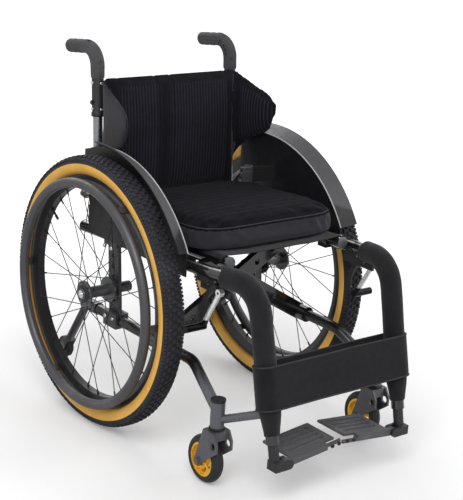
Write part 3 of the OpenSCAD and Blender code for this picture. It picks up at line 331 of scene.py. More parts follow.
class Paint:
    """A Principled material with its own small node tree."""

    def __init__(self, name, rough=0.5, metal=0.0, spec=0.5, coat=0.0, coat_rough=0.1, sheen=0.0):
        self.material = bpy.data.materials.new(name)
        self.material.use_nodes = True
        self.tree = self.material.node_tree
        self.shader = self.tree.nodes["Principled BSDF"]
        levels = {"Metallic": metal, "Specular IOR Level": spec, "Roughness": rough,
                  "Coat Weight": coat, "Coat Roughness": coat_rough, "Sheen Weight": sheen}
        for socket, value in levels.items():
            self.shader.inputs[socket].default_value = value
        self.place = self.node("ShaderNodeTexCoord").outputs["Object"]

    def node(self, kind, **settings):
        n = self.tree.nodes.new(kind)
        for key, value in settings.items():
            setattr(n, key, value)
        return n

    def link(self, a, b):
        self.tree.links.new(a, b)

    def feed(self, socket, value):
        if hasattr(value, "is_linked"):
            self.link(value, socket)
        else:
            socket.default_value = value

    def math(self, operation, a, b=0.0, c=0.0):
        n = self.node("ShaderNodeMath", operation=operation)
        for socket, value in zip(n.inputs, (a, b, c)):
            self.feed(socket, value)
        return n.outputs[0]

    def noise(self, scale, detail=3.0, stretch=None, rough=0.5):
        n = self.node("ShaderNodeTexNoise")
        n.inputs["Scale"].default_value = scale
        n.inputs["Detail"].default_value = detail
        n.inputs["Roughness"].default_value = rough
        place = self.place
        if stretch:
            m = self.node("ShaderNodeMapping")
            m.inputs["Scale"].default_value = stretch
            self.link(place, m.inputs["Vector"])
            place = m.outputs[0]
        self.link(place, n.inputs["Vector"])
        return n.outputs["Fac"]

    def cells(self, scale):
        n = self.node("ShaderNodeTexVoronoi")
        n.inputs["Scale"].default_value = scale
        self.link(self.place, n.inputs["Vector"])
        return n.outputs["Distance"]

    def span(self, value, low, high, to_low=0.0, to_high=1.0):
        n = self.node("ShaderNodeMapRange")
        for socket, v in zip(n.inputs, (value, low, high, to_low, to_high)):
            self.feed(socket, v)
        return n.outputs[0]

    def axis(self, which):
        n = self.node("ShaderNodeSeparateXYZ")
        self.link(self.place, n.inputs[0])
        return n.outputs["XYZ".index(which)]

    def value(self, name):
        return self.node("ShaderNodeAttribute", attribute_name=name).outputs["Fac"]

    def mix(self, share, a, b):
        n = self.node("ShaderNodeMix", data_type="RGBA")
        for socket, v in zip((n.inputs[0], n.inputs[6], n.inputs[7]), (share, a, b)):
            self.feed(socket, (*v, 1) if isinstance(v, tuple) and len(v) == 3 else v)
        return n.outputs[2]

    def color(self, value):
        self.feed(self.shader.inputs["Base Color"], value)

    def rough(self, value):
        self.feed(self.shader.inputs["Roughness"], value)

    def bump(self, *layers):
        """Layers of (height, strength, depth in millimetres)."""
        normal = None
        for height, strength, depth in layers:
            n = self.node("ShaderNodeBump")
            n.inputs["Strength"].default_value = strength
            n.inputs["Distance"].default_value = depth * MM
            self.link(height, n.inputs["Height"])
            if normal is not None:
                self.link(normal, n.inputs["Normal"])
            normal = n.outputs[0]
        self.link(normal, self.shader.inputs["Normal"])


def lighter(c, k):
    return tuple(min(1.0, v * k) for v in c)


def finish(name, c, rough, metal=0.0, spec=0.5, mottle=0.2, patch=18, grain=1400, bump=0.15, depth=0.15,
           spread=0.08, **rest):
    """A coated or moulded finish: soft mottling, a fine grain and uneven gloss."""
    p = Paint(name, rough, metal, spec, **rest)
    cloud = p.noise(patch, 4)
    fine = p.noise(grain, 2)
    p.color(p.mix(p.span(cloud, 0.3, 0.7), lighter(c, 1 - mottle), lighter(c, 1 + mottle)))
    p.rough(p.span(p.noise(patch * 3, 5), 0.25, 0.75, max(0.03, rough - spread), min(1, rough + spread)))
    p.bump((fine, bump, depth))
    return p.material


BLACK = (0.0085, 0.0085, 0.0095)
gloss_black = finish("gloss_black_paint", BLACK, 0.16, spec=0.5, grain=320, bump=0.04, depth=0.3,
                     coat=0.6, coat_rough=0.05)
satin_black = finish("satin_black_metal", (0.016, 0.016, 0.018), 0.42, spec=0.4, bump=0.2)
black_plastic = finish("black_plastic", (0.014, 0.014, 0.015), 0.5, spec=0.35, grain=900, bump=0.25)
gunmetal = finish("gunmetal_paint", (0.105, 0.108, 0.122), 0.33, metal=0.55, spec=0.5, grain=2200,
                  bump=0.12, coat=0.3, coat_rough=0.15)
silver = finish("bright_metal", (0.62, 0.62, 0.63), 0.26, metal=1.0, patch=60, mottle=0.12, bump=0.06)
cane_silver = finish("cane_metal", (0.36, 0.37, 0.4), 0.3, metal=1.0, patch=40, mottle=0.12, bump=0.06)
tower_grey = finish("tower_metal", (0.055, 0.055, 0.06), 0.38, metal=0.2, spec=0.5, bump=0.15)
fork_grey = finish("fork_metal", (0.1, 0.098, 0.112), 0.36, metal=0.3, spec=0.5, bump=0.15)
sleeve_black = finish("sleeve_plastic", (0.025, 0.025, 0.028), 0.45, spec=0.45, bump=0.2)
buckle_grey = finish("buckle_plastic", (0.058, 0.057, 0.066), 0.45, spec=0.45, grain=900, bump=0.2)
hub_grey = finish("hub_metal", (0.11, 0.112, 0.117), 0.4, metal=0.6, bump=0.15)
gold = finish("gold_anodised", (0.95, 0.55, 0.065), 0.3, metal=0.72, patch=30, mottle=0.12, bump=0.08)
spoke_black = finish("spoke_black", (0.02, 0.02, 0.022), 0.35, metal=0.5, bump=0.05)
rim_black = finish("rim_black", (0.02, 0.02, 0.022), 0.36, metal=0.25, spec=0.45, bump=0.12)
tread_black = finish("tread_rubber", (0.025, 0.0245, 0.031), 0.72, spec=0.3, mottle=0.35, grain=700,
                     bump=0.35, depth=0.25)
caster_rubber = finish("caster_rubber", (0.017, 0.017, 0.018), 0.55, spec=0.35, mottle=0.25, bump=0.2)
grip_foam = finish("grip_foam", (0.06, 0.059, 0.063), 0.85, spec=0.22, mottle=0.2, grain=1600, bump=0.5,
                   depth=0.35, sheen=0.08)
# painted highlight: the light grey of the strip along the inner edge of each guard's flange
painted_highlight_grey = finish("painted_highlight_grey", (0.45, 0.45, 0.46), 0.45, spec=0.4, bump=0.1)
piping_black = finish("piping", (0.02, 0.02, 0.021), 0.6, spec=0.3, grain=1800, bump=0.3)


def handrim_finish():
    p = Paint("handrim_anodised", 0.4, 0.55, 0.5)
    wear = p.span(p.noise(9, 5, rough=0.65), 0.52, 0.72)
    streak = p.noise(260, 2, stretch=(1, 0.25, 0.25))
    p.color(p.mix(wear, (0.08, 0.079, 0.087), (0.12, 0.118, 0.128)))
    p.rough(p.span(streak, 0.3, 0.7, 0.34, 0.5))
    p.bump((p.noise(1500, 2), 0.1, 0.1))
    return p.material


def wall_finish():
    """Gum-coloured side wall: fine cords that slant across it, darker towards the bead."""
    p = Paint("amber_wall", 0.55, 0, 0.3)
    y, z = p.math("SUBTRACT", p.axis("Y"), AXLE_Y * MM), p.math("SUBTRACT", p.axis("Z"), WHEEL_R * MM)
    r = p.math("SQRT", p.math("ADD", p.math("MULTIPLY", y, y), p.math("MULTIPLY", z, z)))
    turn = p.math("ARCTAN2", z, y)
    cord = p.math("SINE", p.math("ADD", p.math("MULTIPLY", turn, 620.0), p.math("MULTIPLY", r, 1500.0)))
    edge = p.span(r, 0.2625, 0.268)
    base = p.mix(p.span(p.noise(22, 4), 0.3, 0.7), (0.82, 0.44, 0.08), (0.92, 0.53, 0.115))
    p.color(p.mix(edge, (0.45, 0.19, 0.022), base))
    p.rough(p.span(p.noise(60, 3), 0.3, 0.7, 0.48, 0.64))
    p.bump((cord, 0.25, 0.12), (p.noise(900, 2), 0.2, 0.15))
    return p.material


def foam_finish():
    p = Paint("pad_foam", 0.82, 0, 0.16, sheen=0.12)
    p.color(p.mix(p.span(p.noise(14, 5), 0.3, 0.7), (0.0085, 0.0083, 0.0098), (0.0145, 0.0141, 0.0165)))
    p.rough(p.span(p.noise(50, 3), 0.3, 0.7, 0.74, 0.9))
    p.bump((p.cells(1300), 0.5, 0.35), (p.noise(160, 4), 0.25, 0.6))
    return p.material


def cloth_finish(name, low, high, thread=1.1, sheen=0.12):
    """Plain woven cloth: threads over and under each other, and soft wear."""
    p = Paint(name, 0.85, 0, 0.14, sheen=sheen)
    k = 2 * math.pi / (thread * MM)
    a = p.math("SINE", p.math("MULTIPLY", p.math("ADD", p.axis("X"), p.axis("Y")), k))
    slant = p.math("MULTIPLY", p.axis("Y"), -0.4)
    b = p.math("SINE", p.math("MULTIPLY", p.math("ADD", p.axis("Z"), slant), k))
    weave = p.math("MULTIPLY", a, b)
    p.color(p.mix(p.span(p.noise(11, 5), 0.3, 0.7), low, high))
    p.rough(p.span(p.noise(70, 3), 0.3, 0.7, 0.76, 0.92))
    p.bump((weave, 0.35, 0.2), (p.noise(45, 4), 0.2, 0.8))
    return p.material


def mesh_finish(name, pitch, cross, low, high, spec=0.16, sheen=0.1):
    """Knitted spacer mesh: ribs along the piece, crossed by a finer knit, and plain where rib_mask is 0;
    the ribs are the mesh's pattern, their grooves painted shade and their ridges painted light.
    """
    p = Paint(name, 0.8, 0, spec, sheen=sheen)
    u, v, mask = p.value("rib_u"), p.value("rib_v"), p.value("rib_mask")
    rib = p.span(p.math("SINE", p.math("MULTIPLY", u, 2 * math.pi / (pitch * MM))), -1, 1)
    knit = p.span(p.math("SINE", p.math("MULTIPLY", v, 2 * math.pi / (cross * MM))), -1, 1)
    crossed = p.math("MULTIPLY", p.span(rib, 0.35, 0.8), p.span(knit, 0.0, 0.5, 0.35, 1.0))
    both = p.math("MULTIPLY", crossed, mask)
    cloud = p.span(p.noise(9, 5), 0.3, 0.7)
    # the colour follows the ribs' relief: dark in the grooves is painted shade, light on the ridges painted
    # light
    p.color(p.mix(both, p.mix(cloud, low, lighter(low, 1.6)), p.mix(cloud, lighter(high, 0.8), high)))
    p.rough(p.span(p.noise(60, 3), 0.3, 0.7, 0.7, 0.9))
    p.bump((both, 0.6, 0.8), (p.noise(900, 2), 0.25, 0.2), (p.noise(35, 4), 0.2, 1.0))
    return p.material


def web_finish():
    """Belt webbing: narrow lengthwise cords in a herringbone."""
    p = Paint("webbing", 0.7, 0, 0.2, sheen=0.1)
    x, z = p.axis("X"), p.axis("Z")
    slant = p.math("ADD", p.math("MULTIPLY", x, 3000.0),
                   p.math("MULTIPLY", p.math("PINGPONG", z, 0.004), 5000.0))
    cord = p.math("SINE", slant)
    p.color(p.mix(p.span(cord, -1, 1), (0.0045, 0.0044, 0.0053), (0.0115, 0.0112, 0.0132)))
    p.rough(p.span(p.noise(90, 3), 0.3, 0.7, 0.6, 0.8))
    p.bump((cord, 0.5, 0.3))
    return p.material


def guard_finish():
    """Fibre-filled guard: speckled grey flange, black towards its front end and on the panel inside it."""
    p = Paint("guard_plastic", 0.42, 0, 0.4)
    front = p.span(p.math("SUBTRACT", p.axis("Z"), p.math("MULTIPLY", p.axis("Y"), 0.35)), 0.548, 0.553)
    y, z = p.math("SUBTRACT", p.axis("Y"), AXLE_Y * MM), p.math("SUBTRACT", p.axis("Z"), WHEEL_R * MM)
    r = p.math("SQRT", p.math("ADD", p.math("MULTIPLY", y, y), p.math("MULTIPLY", z, z)))
    panel = p.math("MULTIPLY", p.math("LESS_THAN", p.math("ABSOLUTE", p.axis("X")), 217.4 * MM),
                   p.math("LESS_THAN", r, 317.2 * MM))
    top = p.math("MULTIPLY", front, p.math("SUBTRACT", 1.0, panel))
    weave = p.cells(700)
    grey = p.mix(p.span(weave, 0.1, 0.6), (0.032, 0.032, 0.036), (0.068, 0.068, 0.075))
    p.color(p.mix(top, (0.008, 0.0078, 0.0092), grey))
    p.rough(p.span(p.noise(80, 3), 0.3, 0.7, 0.36, 0.52))
    p.bump((weave, 0.25, 0.2))
    return p.material


def rail_finish():
    """Lower rail: black behind the bend, gunmetal down the caster arm, the head and the stay."""
    p = Paint("rail_paint", 0.28, 0.3, 0.45, coat=0.3, coat_rough=0.12)
    waver = p.math("MULTIPLY", p.noise(30, 2), 4 * MM)
    low = p.span(p.math("ADD", p.axis("Z"), waver), 200 * MM, 232 * MM, 1.0, 0.0)
    p.color(p.mix(low, (0.012, 0.012, 0.013), (0.098, 0.101, 0.116)))
    p.rough(p.span(p.noise(60, 4), 0.3, 0.7, 0.22, 0.36))
    p.bump((p.noise(1800, 2), 0.1, 0.12))
    return p.material


def lever_finish():
    """Brake lever: bright rod, black shoe holder below."""
    p = Paint("brake_lever_metal", 0.28, 0.9, 0.5)
    up = p.span(p.axis("Z"), 0.3445, 0.3455)
    p.color(p.mix(up, (0.012, 0.012, 0.013), p.mix(p.noise(90, 3), (0.78, 0.78, 0.79), (0.9, 0.9, 0.91))))
    p.rough(p.span(p.noise(50, 4), 0.3, 0.7, 0.2, 0.36))
    p.bump((p.noise(1200, 2), 0.08, 0.1))
    return p.material


def foot_finish():
    p = Paint("foot_plastic", 0.5, 0, 0.4)
    scuff = p.span(p.noise(55, 6, stretch=(0.35, 1, 1), rough=0.7), 0.56, 0.75)
    p.color(p.mix(scuff, (0.078, 0.077, 0.083), (0.14, 0.138, 0.147)))
    p.rough(p.span(p.noise(120, 4), 0.3, 0.7, 0.4, 0.58))
    p.bump((p.cells(900), 0.3, 0.2))
    return p.material


handrim_grey, amber, foam, web = handrim_finish(), wall_finish(), foam_finish(), web_finish()
guard_grey, rail_paint = guard_finish(), rail_finish()
lever_metal, foot_grey = lever_finish(), foot_finish()
plain_cloth = cloth_finish("plain_cloth", (0.0165, 0.0158, 0.0208), (0.026, 0.025, 0.0325))
wing_cloth = cloth_finish("wing_cloth", (0.021, 0.0202, 0.0262), (0.033, 0.0315, 0.041), 1.3, 0.14)
strap_cloth = cloth_finish("strap_cloth", (0.0075, 0.0073, 0.0088), (0.0125, 0.0121, 0.0145), 1.6)
sling_cloth = cloth_finish("sling_cloth", (0.009, 0.0087, 0.0105), (0.016, 0.0155, 0.0185), 2.0)
back_mesh = mesh_finish("back_mesh", 8.2, 3.0, (0.0034, 0.0031, 0.0052), (0.0245, 0.023, 0.0345),
                        0.1, 0.06)
seat_mesh = mesh_finish("seat_mesh", 22.0, 3.0, (0.004, 0.0037, 0.0056), (0.0102, 0.0095, 0.0142),
                        0.05, 0.02)


# Camera, floor and light


def make_camera():
    data = bpy.data.cameras.new("photo_view")
    data.lens, data.sensor_width, data.sensor_fit = 98.91, 36.0, "AUTO"
    data.clip_start, data.clip_end = 0.05, 200
    cam = bpy.data.objects.new("photo_view", data)
    scene.collection.objects.link(cam)
    right = (0.78461, -0.61695, 0.06123)
    up = (0.13537, 0.26686, 0.95418)
    back = (-0.60502, -0.74037, 0.29290)
    turn = Matrix([right, up, back]).transposed().to_4x4()
    turn.translation = at(-1854.1, -2423.7, 1306.4)
    cam.matrix_world = turn
    scene.camera = cam


def make_floor():
    p = Paint("floor_paper", 0.95, 0, 0.05)
    p.color(p.mix(p.noise(3, 3), (0.80, 0.80, 0.805), (0.825, 0.825, 0.83)))
    p.bump((p.noise(400, 2), 0.02, 0.1))
    # painted light: camera rays see the floor glow, more strongly the further it lies from the chair, which
    # lifts the floor and the shadows on it towards white
    far = p.node("ShaderNodeVectorMath", operation="LENGTH")
    p.link(p.place, far.inputs[0])
    painted_glow = p.node("ShaderNodeEmission")
    seen = p.node("ShaderNodeLightPath").outputs["Is Camera Ray"]
    fade = p.span(far.outputs["Value"], 0.5, 2.6, 0.2, 0.62)
    p.link(p.math("MULTIPLY", fade, seen), painted_glow.inputs["Strength"])
    both = p.node("ShaderNodeAddShader")
    p.link(p.shader.outputs[0], both.inputs[0])
    p.link(painted_glow.outputs[0], both.inputs[1])
    p.link(both.outputs[0], p.tree.nodes["Material Output"].inputs["Surface"])
    half = 60
    mesh = bpy.data.meshes.new("floor")
    corners = [(-half, -half, 0), (half, -half, 0), (half, half, 0), (-half, half, 0)]
    mesh.from_pydata(corners, [], [(0, 1, 2, 3)])
    mesh.materials.append(p.material)
    floor = linked("floor", mesh)
    floor.location.z = -0.0005


def make_light():
    world = bpy.data.worlds.new("studio")
    scene.world = world
    world.use_nodes = True
    tree = world.node_tree
    back = tree.nodes["Background"]
    path = tree.nodes.new("ShaderNodeLightPath")
    seen = tree.nodes.new("ShaderNodeMath")
    seen.operation = "MAXIMUM"
    tree.links.new(path.outputs["Is Camera Ray"], seen.inputs[0])
    tree.links.new(path.outputs["Is Transmission Ray"], seen.inputs[1])
    either = tree.nodes.new("ShaderNodeMath")
    either.operation = "MAXIMUM"
    tree.links.new(seen.outputs[0], either.inputs[0])
    tree.links.new(path.outputs["Is Glossy Ray"], either.inputs[1])
    level = tree.nodes.new("ShaderNodeMapRange")
    level.inputs["To Min"].default_value, level.inputs["To Max"].default_value = 0.5, 1.0
    tree.links.new(either.outputs[0], level.inputs["Value"])
    back.inputs["Color"].default_value = (1, 1, 1, 1)
    tree.links.new(level.outputs[0], back.inputs["Strength"])
    aim = Vector((0, 0, 0.4))
    lamps = (("key", (-2.2, -2.2, 3.4), 2.4, 95), ("fill", (3.0, -1.6, 2.2), 2.0, 30),
             ("rear", (0.6, 3.2, 2.8), 2.2, 45))
    for name, place, size, power in lamps:
        data = bpy.data.lights.new(name, "AREA")
        data.energy, data.size = power, size
        lamp = bpy.data.objects.new(name, data)
        scene.collection.objects.link(lamp)
        lamp.location = place
        lamp.rotation_euler = (aim - Vector(place)).to_track_quat("-Z", "Y").to_euler()


scene.view_settings.view_transform = "Standard"
make_camera()
make_floor()
make_light()

# Finishes of the solids that stay

FINISHES = {
    "side_tube": gloss_black, "lower_rail": rail_paint, "axle_plate": tower_grey, "cane": cane_silver,
    "push_handle": sleeve_black, "side_guard": guard_grey, "foot_hanger": satin_black,
    "footplate": foot_grey,
    "brake_bracket": satin_black, "brake_lever": lever_metal, "brake_arm": satin_black,
    "anti_tip_tube": gunmetal, "anti_tip_wheel": caster_rubber, "axle": silver, "axle_button": silver,
    "hub": hub_grey, "spokes": spoke_black, "rim": rim_black, "handrim": handrim_grey,
    "caster_fork": fork_grey, "caster_wheel": gold, "caster_tyre": caster_rubber,
    "frame_bolts": black_plastic, "cross_arm_a": gloss_black, "cross_arm_b": gloss_black,
    "cross_pivot": silver,
}


def finish_solids():
    for name, obj in nodes.items():
        kind = name.split("_", 1)[1] if name.startswith(("left_", "right_")) else name
        obj.data.materials.clear()
        obj.data.materials.append(FINISHES.get(kind, black_plastic))


finish_solids()


def place(obj, body, slot=None, stands_for=()):
    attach(obj, body)
    if stands_for:
        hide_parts(*stands_for)
    return obj


# Rear wheels

KNOB_PITCHES = 112
WALL_TOP = 287.5
TYRE_PROFILE = [(13.5, 262.4), (18.0, 264.0), (22.2, 269.0), (24.5, 276.0), (24.9, 282.0), (24.2, WALL_TOP),
                (23.8, 290.0), (22.6, 294.2), (19.6, 297.9), (14.0, 300.0), (7.0, 300.9), (0.0, 301.1)]
# Knobs: across, radius at the foot, tilt, width across, length round, height, turns per pitch
KNOBS = [
    (4.9, 300.4, 2, 8.2, 9.6, 4.5, 0.0), (-4.9, 300.4, -2, 8.2, 9.6, 4.5, 0.5),
    (13.6, 299.4, 16, 7.4, 9.2, 4.4, 0.5), (-13.6, 299.4, -16, 7.4, 9.2, 4.4, 0.0),
    (20.6, 296.2, 46, 6.4, 7.0, 3.6, 0.0), (20.6, 296.2, 46, 6.4, 6.0, 3.2, 0.5),
    (-20.6, 296.2, -46, 6.4, 7.0, 3.6, 0.5), (-20.6, 296.2, -46, 6.4, 6.0, 3.2, 0.0),
]


def around(turn, across, radius):
    """A point of the left wheel: a turn about the axle, a distance outward and a radius."""
    return at(TRACK_HALF + across, radius * math.cos(turn), WHEEL_R + radius * math.sin(turn))


def make_tyre(side, sign):
    shape = Shape()
    profile = TYRE_PROFILE + [(-x, r) for x, r in reversed(TYRE_PROFILE[:-1])]
    n, turns = len(profile), 192
    points = [around(2 * math.pi * k / turns, x, r) for k in range(turns) for x, r in profile]
    wall, tread = [], []
    for k in range(turns):
        p, q = k * n, (k + 1) % turns * n
        for i in range(n):
            j = (i + 1) % n
            face = [p + i, p + j, q + j, q + i]
            (wall if max(profile[i][1], profile[j][1]) <= WALL_TOP + 0.1 else tread).append(face)
    shape.add(points, wall, 0)
    shape.faces += tread
    shape.slots += [1] * len(tread)
    for k in range(KNOB_PITCHES):
        for across, foot, tilt, wide, long, high, share in KNOBS:
            turn = 2 * math.pi * (k + share) / KNOB_PITCHES
            out = Vector((0, math.cos(turn), math.sin(turn)))
            along = Vector((0, -math.sin(turn), math.cos(turn)))
            t = math.radians(tilt)
            up = out * math.cos(t) + Vector((math.sin(t), 0, 0))
            wide_axis = Vector((math.cos(t), 0, 0)) - out * math.sin(t)
            skew = (along + wide_axis * 0.12 * (1 if across > 0 else -1)).normalized()
            sunk = 1.2
            middle = around(turn, across, foot) + up * ((high - sunk) / 2) * MM
            shape.box(middle, (wide_axis, skew, up), (wide, long, high + sunk), 1, 0.7, 0.86)
    tyre = shape.make(side + "_knobbly_tyre", amber, tread_black, sharp=32, mirror=sign)
    place(tyre, side + "_wheel", "tyre_rubber", [side + "_tyre"])


def make_wheel_trim(side, sign):
    """Nipples and spoke heads, the valve and the hub caps."""
    heads, valve, cap = Shape(), Shape(), Shape()
    sets, flange_r, rim_r, hub_half = 7, 29.0, 238.0, 33.0
    spread, rim_half, nipple_l, head_in, valve_turn = 1.6, 5, 11, 4, 2.2
    hole_r, holes = 23.8, 7
    nipple = [(1.6, 0), (2.0, 1), (2.1, 9), (3.0, 10), (3.0, 12)]
    stem = [(4.2, -2), (4.2, 2), (3.0, 3), (2.6, 16), (3.2, 17), (3.2, 27), (2.2, 29)]
    outer_cap = [(14.5, -0.4), (20.5, -0.4), (20.5, 1.2), (19.0, 2.4), (14.0, 2.8), (12.2, 2.4), (12.2, 0)]
    inner_cap = [(9.5, -0.4), (18.0, -0.4), (18.0, 1.2), (16.0, 2.2), (9.5, 2.2)]

    def wheel_point(x, y, z):
        return at(TRACK_HALF + z, y, WHEEL_R - x)

    for flange in (-1, 1):
        for slant in (-1, 1):
            for i in range(sets):
                turn = (i + slant / 4 + flange / 8) * 2 * math.pi / sets
                far = turn + slant * 2 * math.pi / sets
                near_end = wheel_point(flange_r * math.cos(turn), flange_r * math.sin(turn),
                                       flange * (hub_half - 2) + slant * spread)
                far_end = wheel_point(rim_r * math.cos(far), rim_r * math.sin(far),
                                      flange * rim_half + slant * spread)
                line = (far_end - near_end).normalized()
                heads.lathe(far_end - line * nipple_l * MM, line, nipple, 8)
                head_r = flange_r - head_in
                head = wheel_point(head_r * math.cos(turn), head_r * math.sin(turn), flange * hub_half)
                heads.dome(head, (flange, 0, 0), 2.0, 1.3, 0, 8)
    foot = wheel_point(rim_r * math.cos(valve_turn), rim_r * math.sin(valve_turn), 0)
    inward = (wheel_point(0, 0, 0) - foot).normalized()
    valve.lathe(foot, inward, stem, 14)
    axle = wheel_point(0, 0, 0)
    outward = Vector((1, 0, 0))
    cap.lathe(axle + outward * hub_half * MM, outward, outer_cap, 36, 0, True)
    cap.lathe(axle - outward * hub_half * MM, -outward, inner_cap, 36, 0, True)
    for k in range(holes):
        a = 2 * math.pi * (k + 0.25) / holes
        hole = wheel_point(hole_r * math.cos(a), hole_r * math.sin(a), hub_half)
        cap.lathe(hole, outward, [(2.6, -0.3), (2.6, 0.25), (1.8, 0.3)], 12)
    parts = ((heads, "spoke_nipples", spoke_black), (valve, "valve", black_plastic),
             (cap, "hub_caps", black_plastic))
    for shape, name, material in parts:
        place(shape.make(side + "_" + name, material, mirror=sign), side + "_wheel", "black_plastic")


for side, sign in SIDES:
    make_tyre(side, sign)
    make_wheel_trim(side, sign)


# Seat


def seat_frame():
    """Turns seat coordinates, with Z = 0 on the tops of the seat tubes, into the row frame."""
    turn = Matrix.Rotation(-DUMP, 4, "X")
    turn.translation = at(0, 0, tube_z(0) + TUBE_R / math.cos(DUMP))
    return turn


def make_cushion():
    pad = remeshed("cushion_pad", "seat_cushion", 5)
    back_to_seat = np.array(seat_frame().inverted())
    local = points_of(pad.data) @ back_to_seat[:3, :3].T + back_to_seat[:3, 3]
    low = local[:, 2].min()
    drawn_in, held, ribs_from, mesh_from, seam_h = 4, 3, 39, 40, 44
    pinned = local[:, 2] < low + held * MM
    inset(pad, drawn_in)
    # the underside goes back to where it lay
    back_out = points_of(pad.data) + normals_of(pad.data) * drawn_in * MM
    set_points(pad.data, np.where(pinned[:, None], back_out, points_of(pad.data)))
    puffed(pad, 4.0, 9, pinned)
    eased(pad, 3)
    finer(pad)
    co = points_of(pad.data)
    local = co @ back_to_seat[:3, :3].T + back_to_seat[:3, 3]
    attribute(pad, "rib_u", local[:, 1])
    attribute(pad, "rib_v", local[:, 0])
    attribute(pad, "rib_mask", np.clip((local[:, 2] - low - ribs_from * MM) / (4 * MM), 0, 1))
    pad.data.materials.append(plain_cloth)
    pad.data.materials.append(seat_mesh)
    up = seat_frame().to_3x3() @ Vector((0, 0, 1))
    for f in pad.data.polygons:
        f.material_index = int(f.normal.dot(up) > 0.2 and local[f.vertices[0], 2] > low + mesh_from * MM)
    shade(pad.data, 180)
    ring = around_pad(pad, low + seam_h * MM)
    seam = Shape()
    seam.tube(ring, 1.5, 8, closed=True)
    stitched = seam.make("cushion_seam", piping_black, sharp=180)
    for obj in (pad, stitched):
        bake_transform(obj)
    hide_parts("seat_cushion")


def around_pad(pad, height, steps=200):
    """Points of the cushion's side at one height over the seat, found by looking in from outside."""
    tree = BVHTree.FromPolygons([v.co for v in pad.data.vertices],
                                [list(f.vertices) for f in pad.data.polygons])
    turn, ring = seat_frame(), []
    mid = turn.inverted() @ (sum(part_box("seat_cushion"), Vector()) / 2)
    for k in range(steps):
        a = 2 * math.pi * k / steps
        way = Vector((math.cos(a), math.sin(a), 0))
        start = Vector((mid.x, mid.y, height)) + way * 0.5
        hit = tree.ray_cast(turn @ start, turn.to_3x3() @ -way)[0]
        if hit is not None:
            ring.append(hit)
    return ring


def make_sling():
    """Cloth from seat tube to seat tube, rolled over each."""
    rows, reach = 40, math.radians(58)
    rolls, spans, sag, roll_r = 6, 24, 4, TUBE_R + 1.2
    section = [(-TUBE_X - roll_r * math.sin(reach * k / rolls), roll_r * (math.cos(reach * k / rolls) - 1))
               for k in range(rolls, 0, -1)]
    section += [(-TUBE_X + 2 * TUBE_X * k / spans, -sag * (1 - (2 * k / spans - 1) ** 4))
                for k in range(spans + 1)]
    section += [(-x, h) for x, h in reversed(section[:rolls])]
    turn, n, points = seat_frame(), len(section), []
    front, rear, thick = -334.0, 51.0, 1.6
    for layer in (0.6, 0.6 + thick):
        for j in range(rows + 1):
            y = front + (rear - front) * j / rows
            for i, (x, h) in enumerate(section):
                lean = max(0.0, min(1.0, (abs(x) - TUBE_X) / TUBE_R))
                out = Vector((math.copysign(lean, x), 0, math.sqrt(1 - lean * lean)))
                ripple = 0.5 * math.sin(j * 1.9 + i) * (1 - abs(x) / 180)
                points.append(turn @ ((Vector((x, y, h + ripple)) + out * layer) * MM))
    size, faces = n * (rows + 1), []
    for j in range(rows):
        for i in range(n - 1):
            p = j * n + i
            faces.append([p, p + 1, p + n + 1, p + n])
            faces.append([size + p, size + p + n, size + p + n + 1, size + p + 1])
    edge = [*range(n - 1), *[j * n + n - 1 for j in range(rows)],
            *[rows * n + i for i in range(n - 1, 0, -1)], *[j * n for j in range(rows, 0, -1)]]
    faces += [[a, size + a, size + b, b] for a, b in zip(edge, edge[1:] + edge[:1])]
    shape = Shape()
    shape.add(points, faces)
    sling = shape.make("sling_sheet", sling_cloth, sharp=60)
    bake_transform(sling)
    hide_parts("seat_sling")


make_cushion()
make_sling()


# Back

BACK_MID, BACK_AHEAD, BACK_TURN = 180.0, 24, 18


def along_back(co):
    """Distance from the middle along the back's curve, in millimetres, for points in the row frame."""
    y, z = co[:, 1] / MM - AXLE_Y, co[:, 2] / MM
    rear = cane_y(z) - BACK_AHEAD
    ahead = np.maximum(0, rear - y)
    x = np.abs(co[:, 0]) / MM
    return np.sign(co[:, 0]) * (np.minimum(x, BACK_MID) + np.where(x > BACK_MID - BACK_TURN, ahead, 0))


def make_back():
    pad = remeshed("back_pad", "back_upholstery", 5)
    inset(pad, 2.2)
    puffed(pad, 3.0, 4)
    eased(pad, 2)
    finer(pad)
    co, no = points_of(pad.data), normals_of(pad.data)
    s = along_back(co)
    z = co[:, 2] / MM
    # seams: the plain band near the middle, and where the wings turn forwards
    band_at, band_half, seam_w, seam_end = -28, 24, 3.0, 175
    low_hem, top_hem, fade, wing_fall = 14, 16, 6, 0.35
    bend_from, bend_to, bend_share, tip_at, tip_fade = 152, 208, 0.12, 302, 8
    for seam, deep in ((-50, 1.4), (-6, 1.4), (-150, 1.0), (150, 1.0)):
        groove = np.exp(-((s - seam) / seam_w) ** 2) * (np.abs(s) < seam_end)
        co -= no * (deep * MM * groove)[:, None]
    low, high, away = z.min(), z.max(), np.abs(s)
    wing = wing_fall * np.maximum(0, away - BACK_MID)
    edge = np.minimum(np.clip((z - low - low_hem) / fade, 0, 1),
                      np.clip((high - top_hem - z - wing) / fade, 0, 1))
    off_band = np.abs(s - band_at)
    band = 1 - np.clip(1 - off_band / band_half, 0, 1) ** 0.5 * (off_band < band_half)
    bend = np.where((away > bend_from) & (away < bend_to), bend_share, 1)
    tip = np.clip((tip_at - away) / tip_fade, 0, 1)
    set_points(pad.data, co)
    attribute(pad, "rib_u", s * MM)
    attribute(pad, "rib_v", z * MM)
    attribute(pad, "rib_mask", np.clip(edge * band * bend * tip, 0, 1))
    pad.data.materials.append(back_mesh)
    pad.data.materials.append(wing_cloth)
    for f in pad.data.polygons:
        first = f.vertices[0]
        outer = abs(s[first]) > BACK_MID and f.normal.x * co[first, 0] > 0
        f.material_index = int(outer or f.normal.y > 0.3)
    shade(pad.data, 180)
    place(pad, "right_frame", "cloth", ["back_upholstery"])
    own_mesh(pad)


make_back()


# Calf strap and lap belt


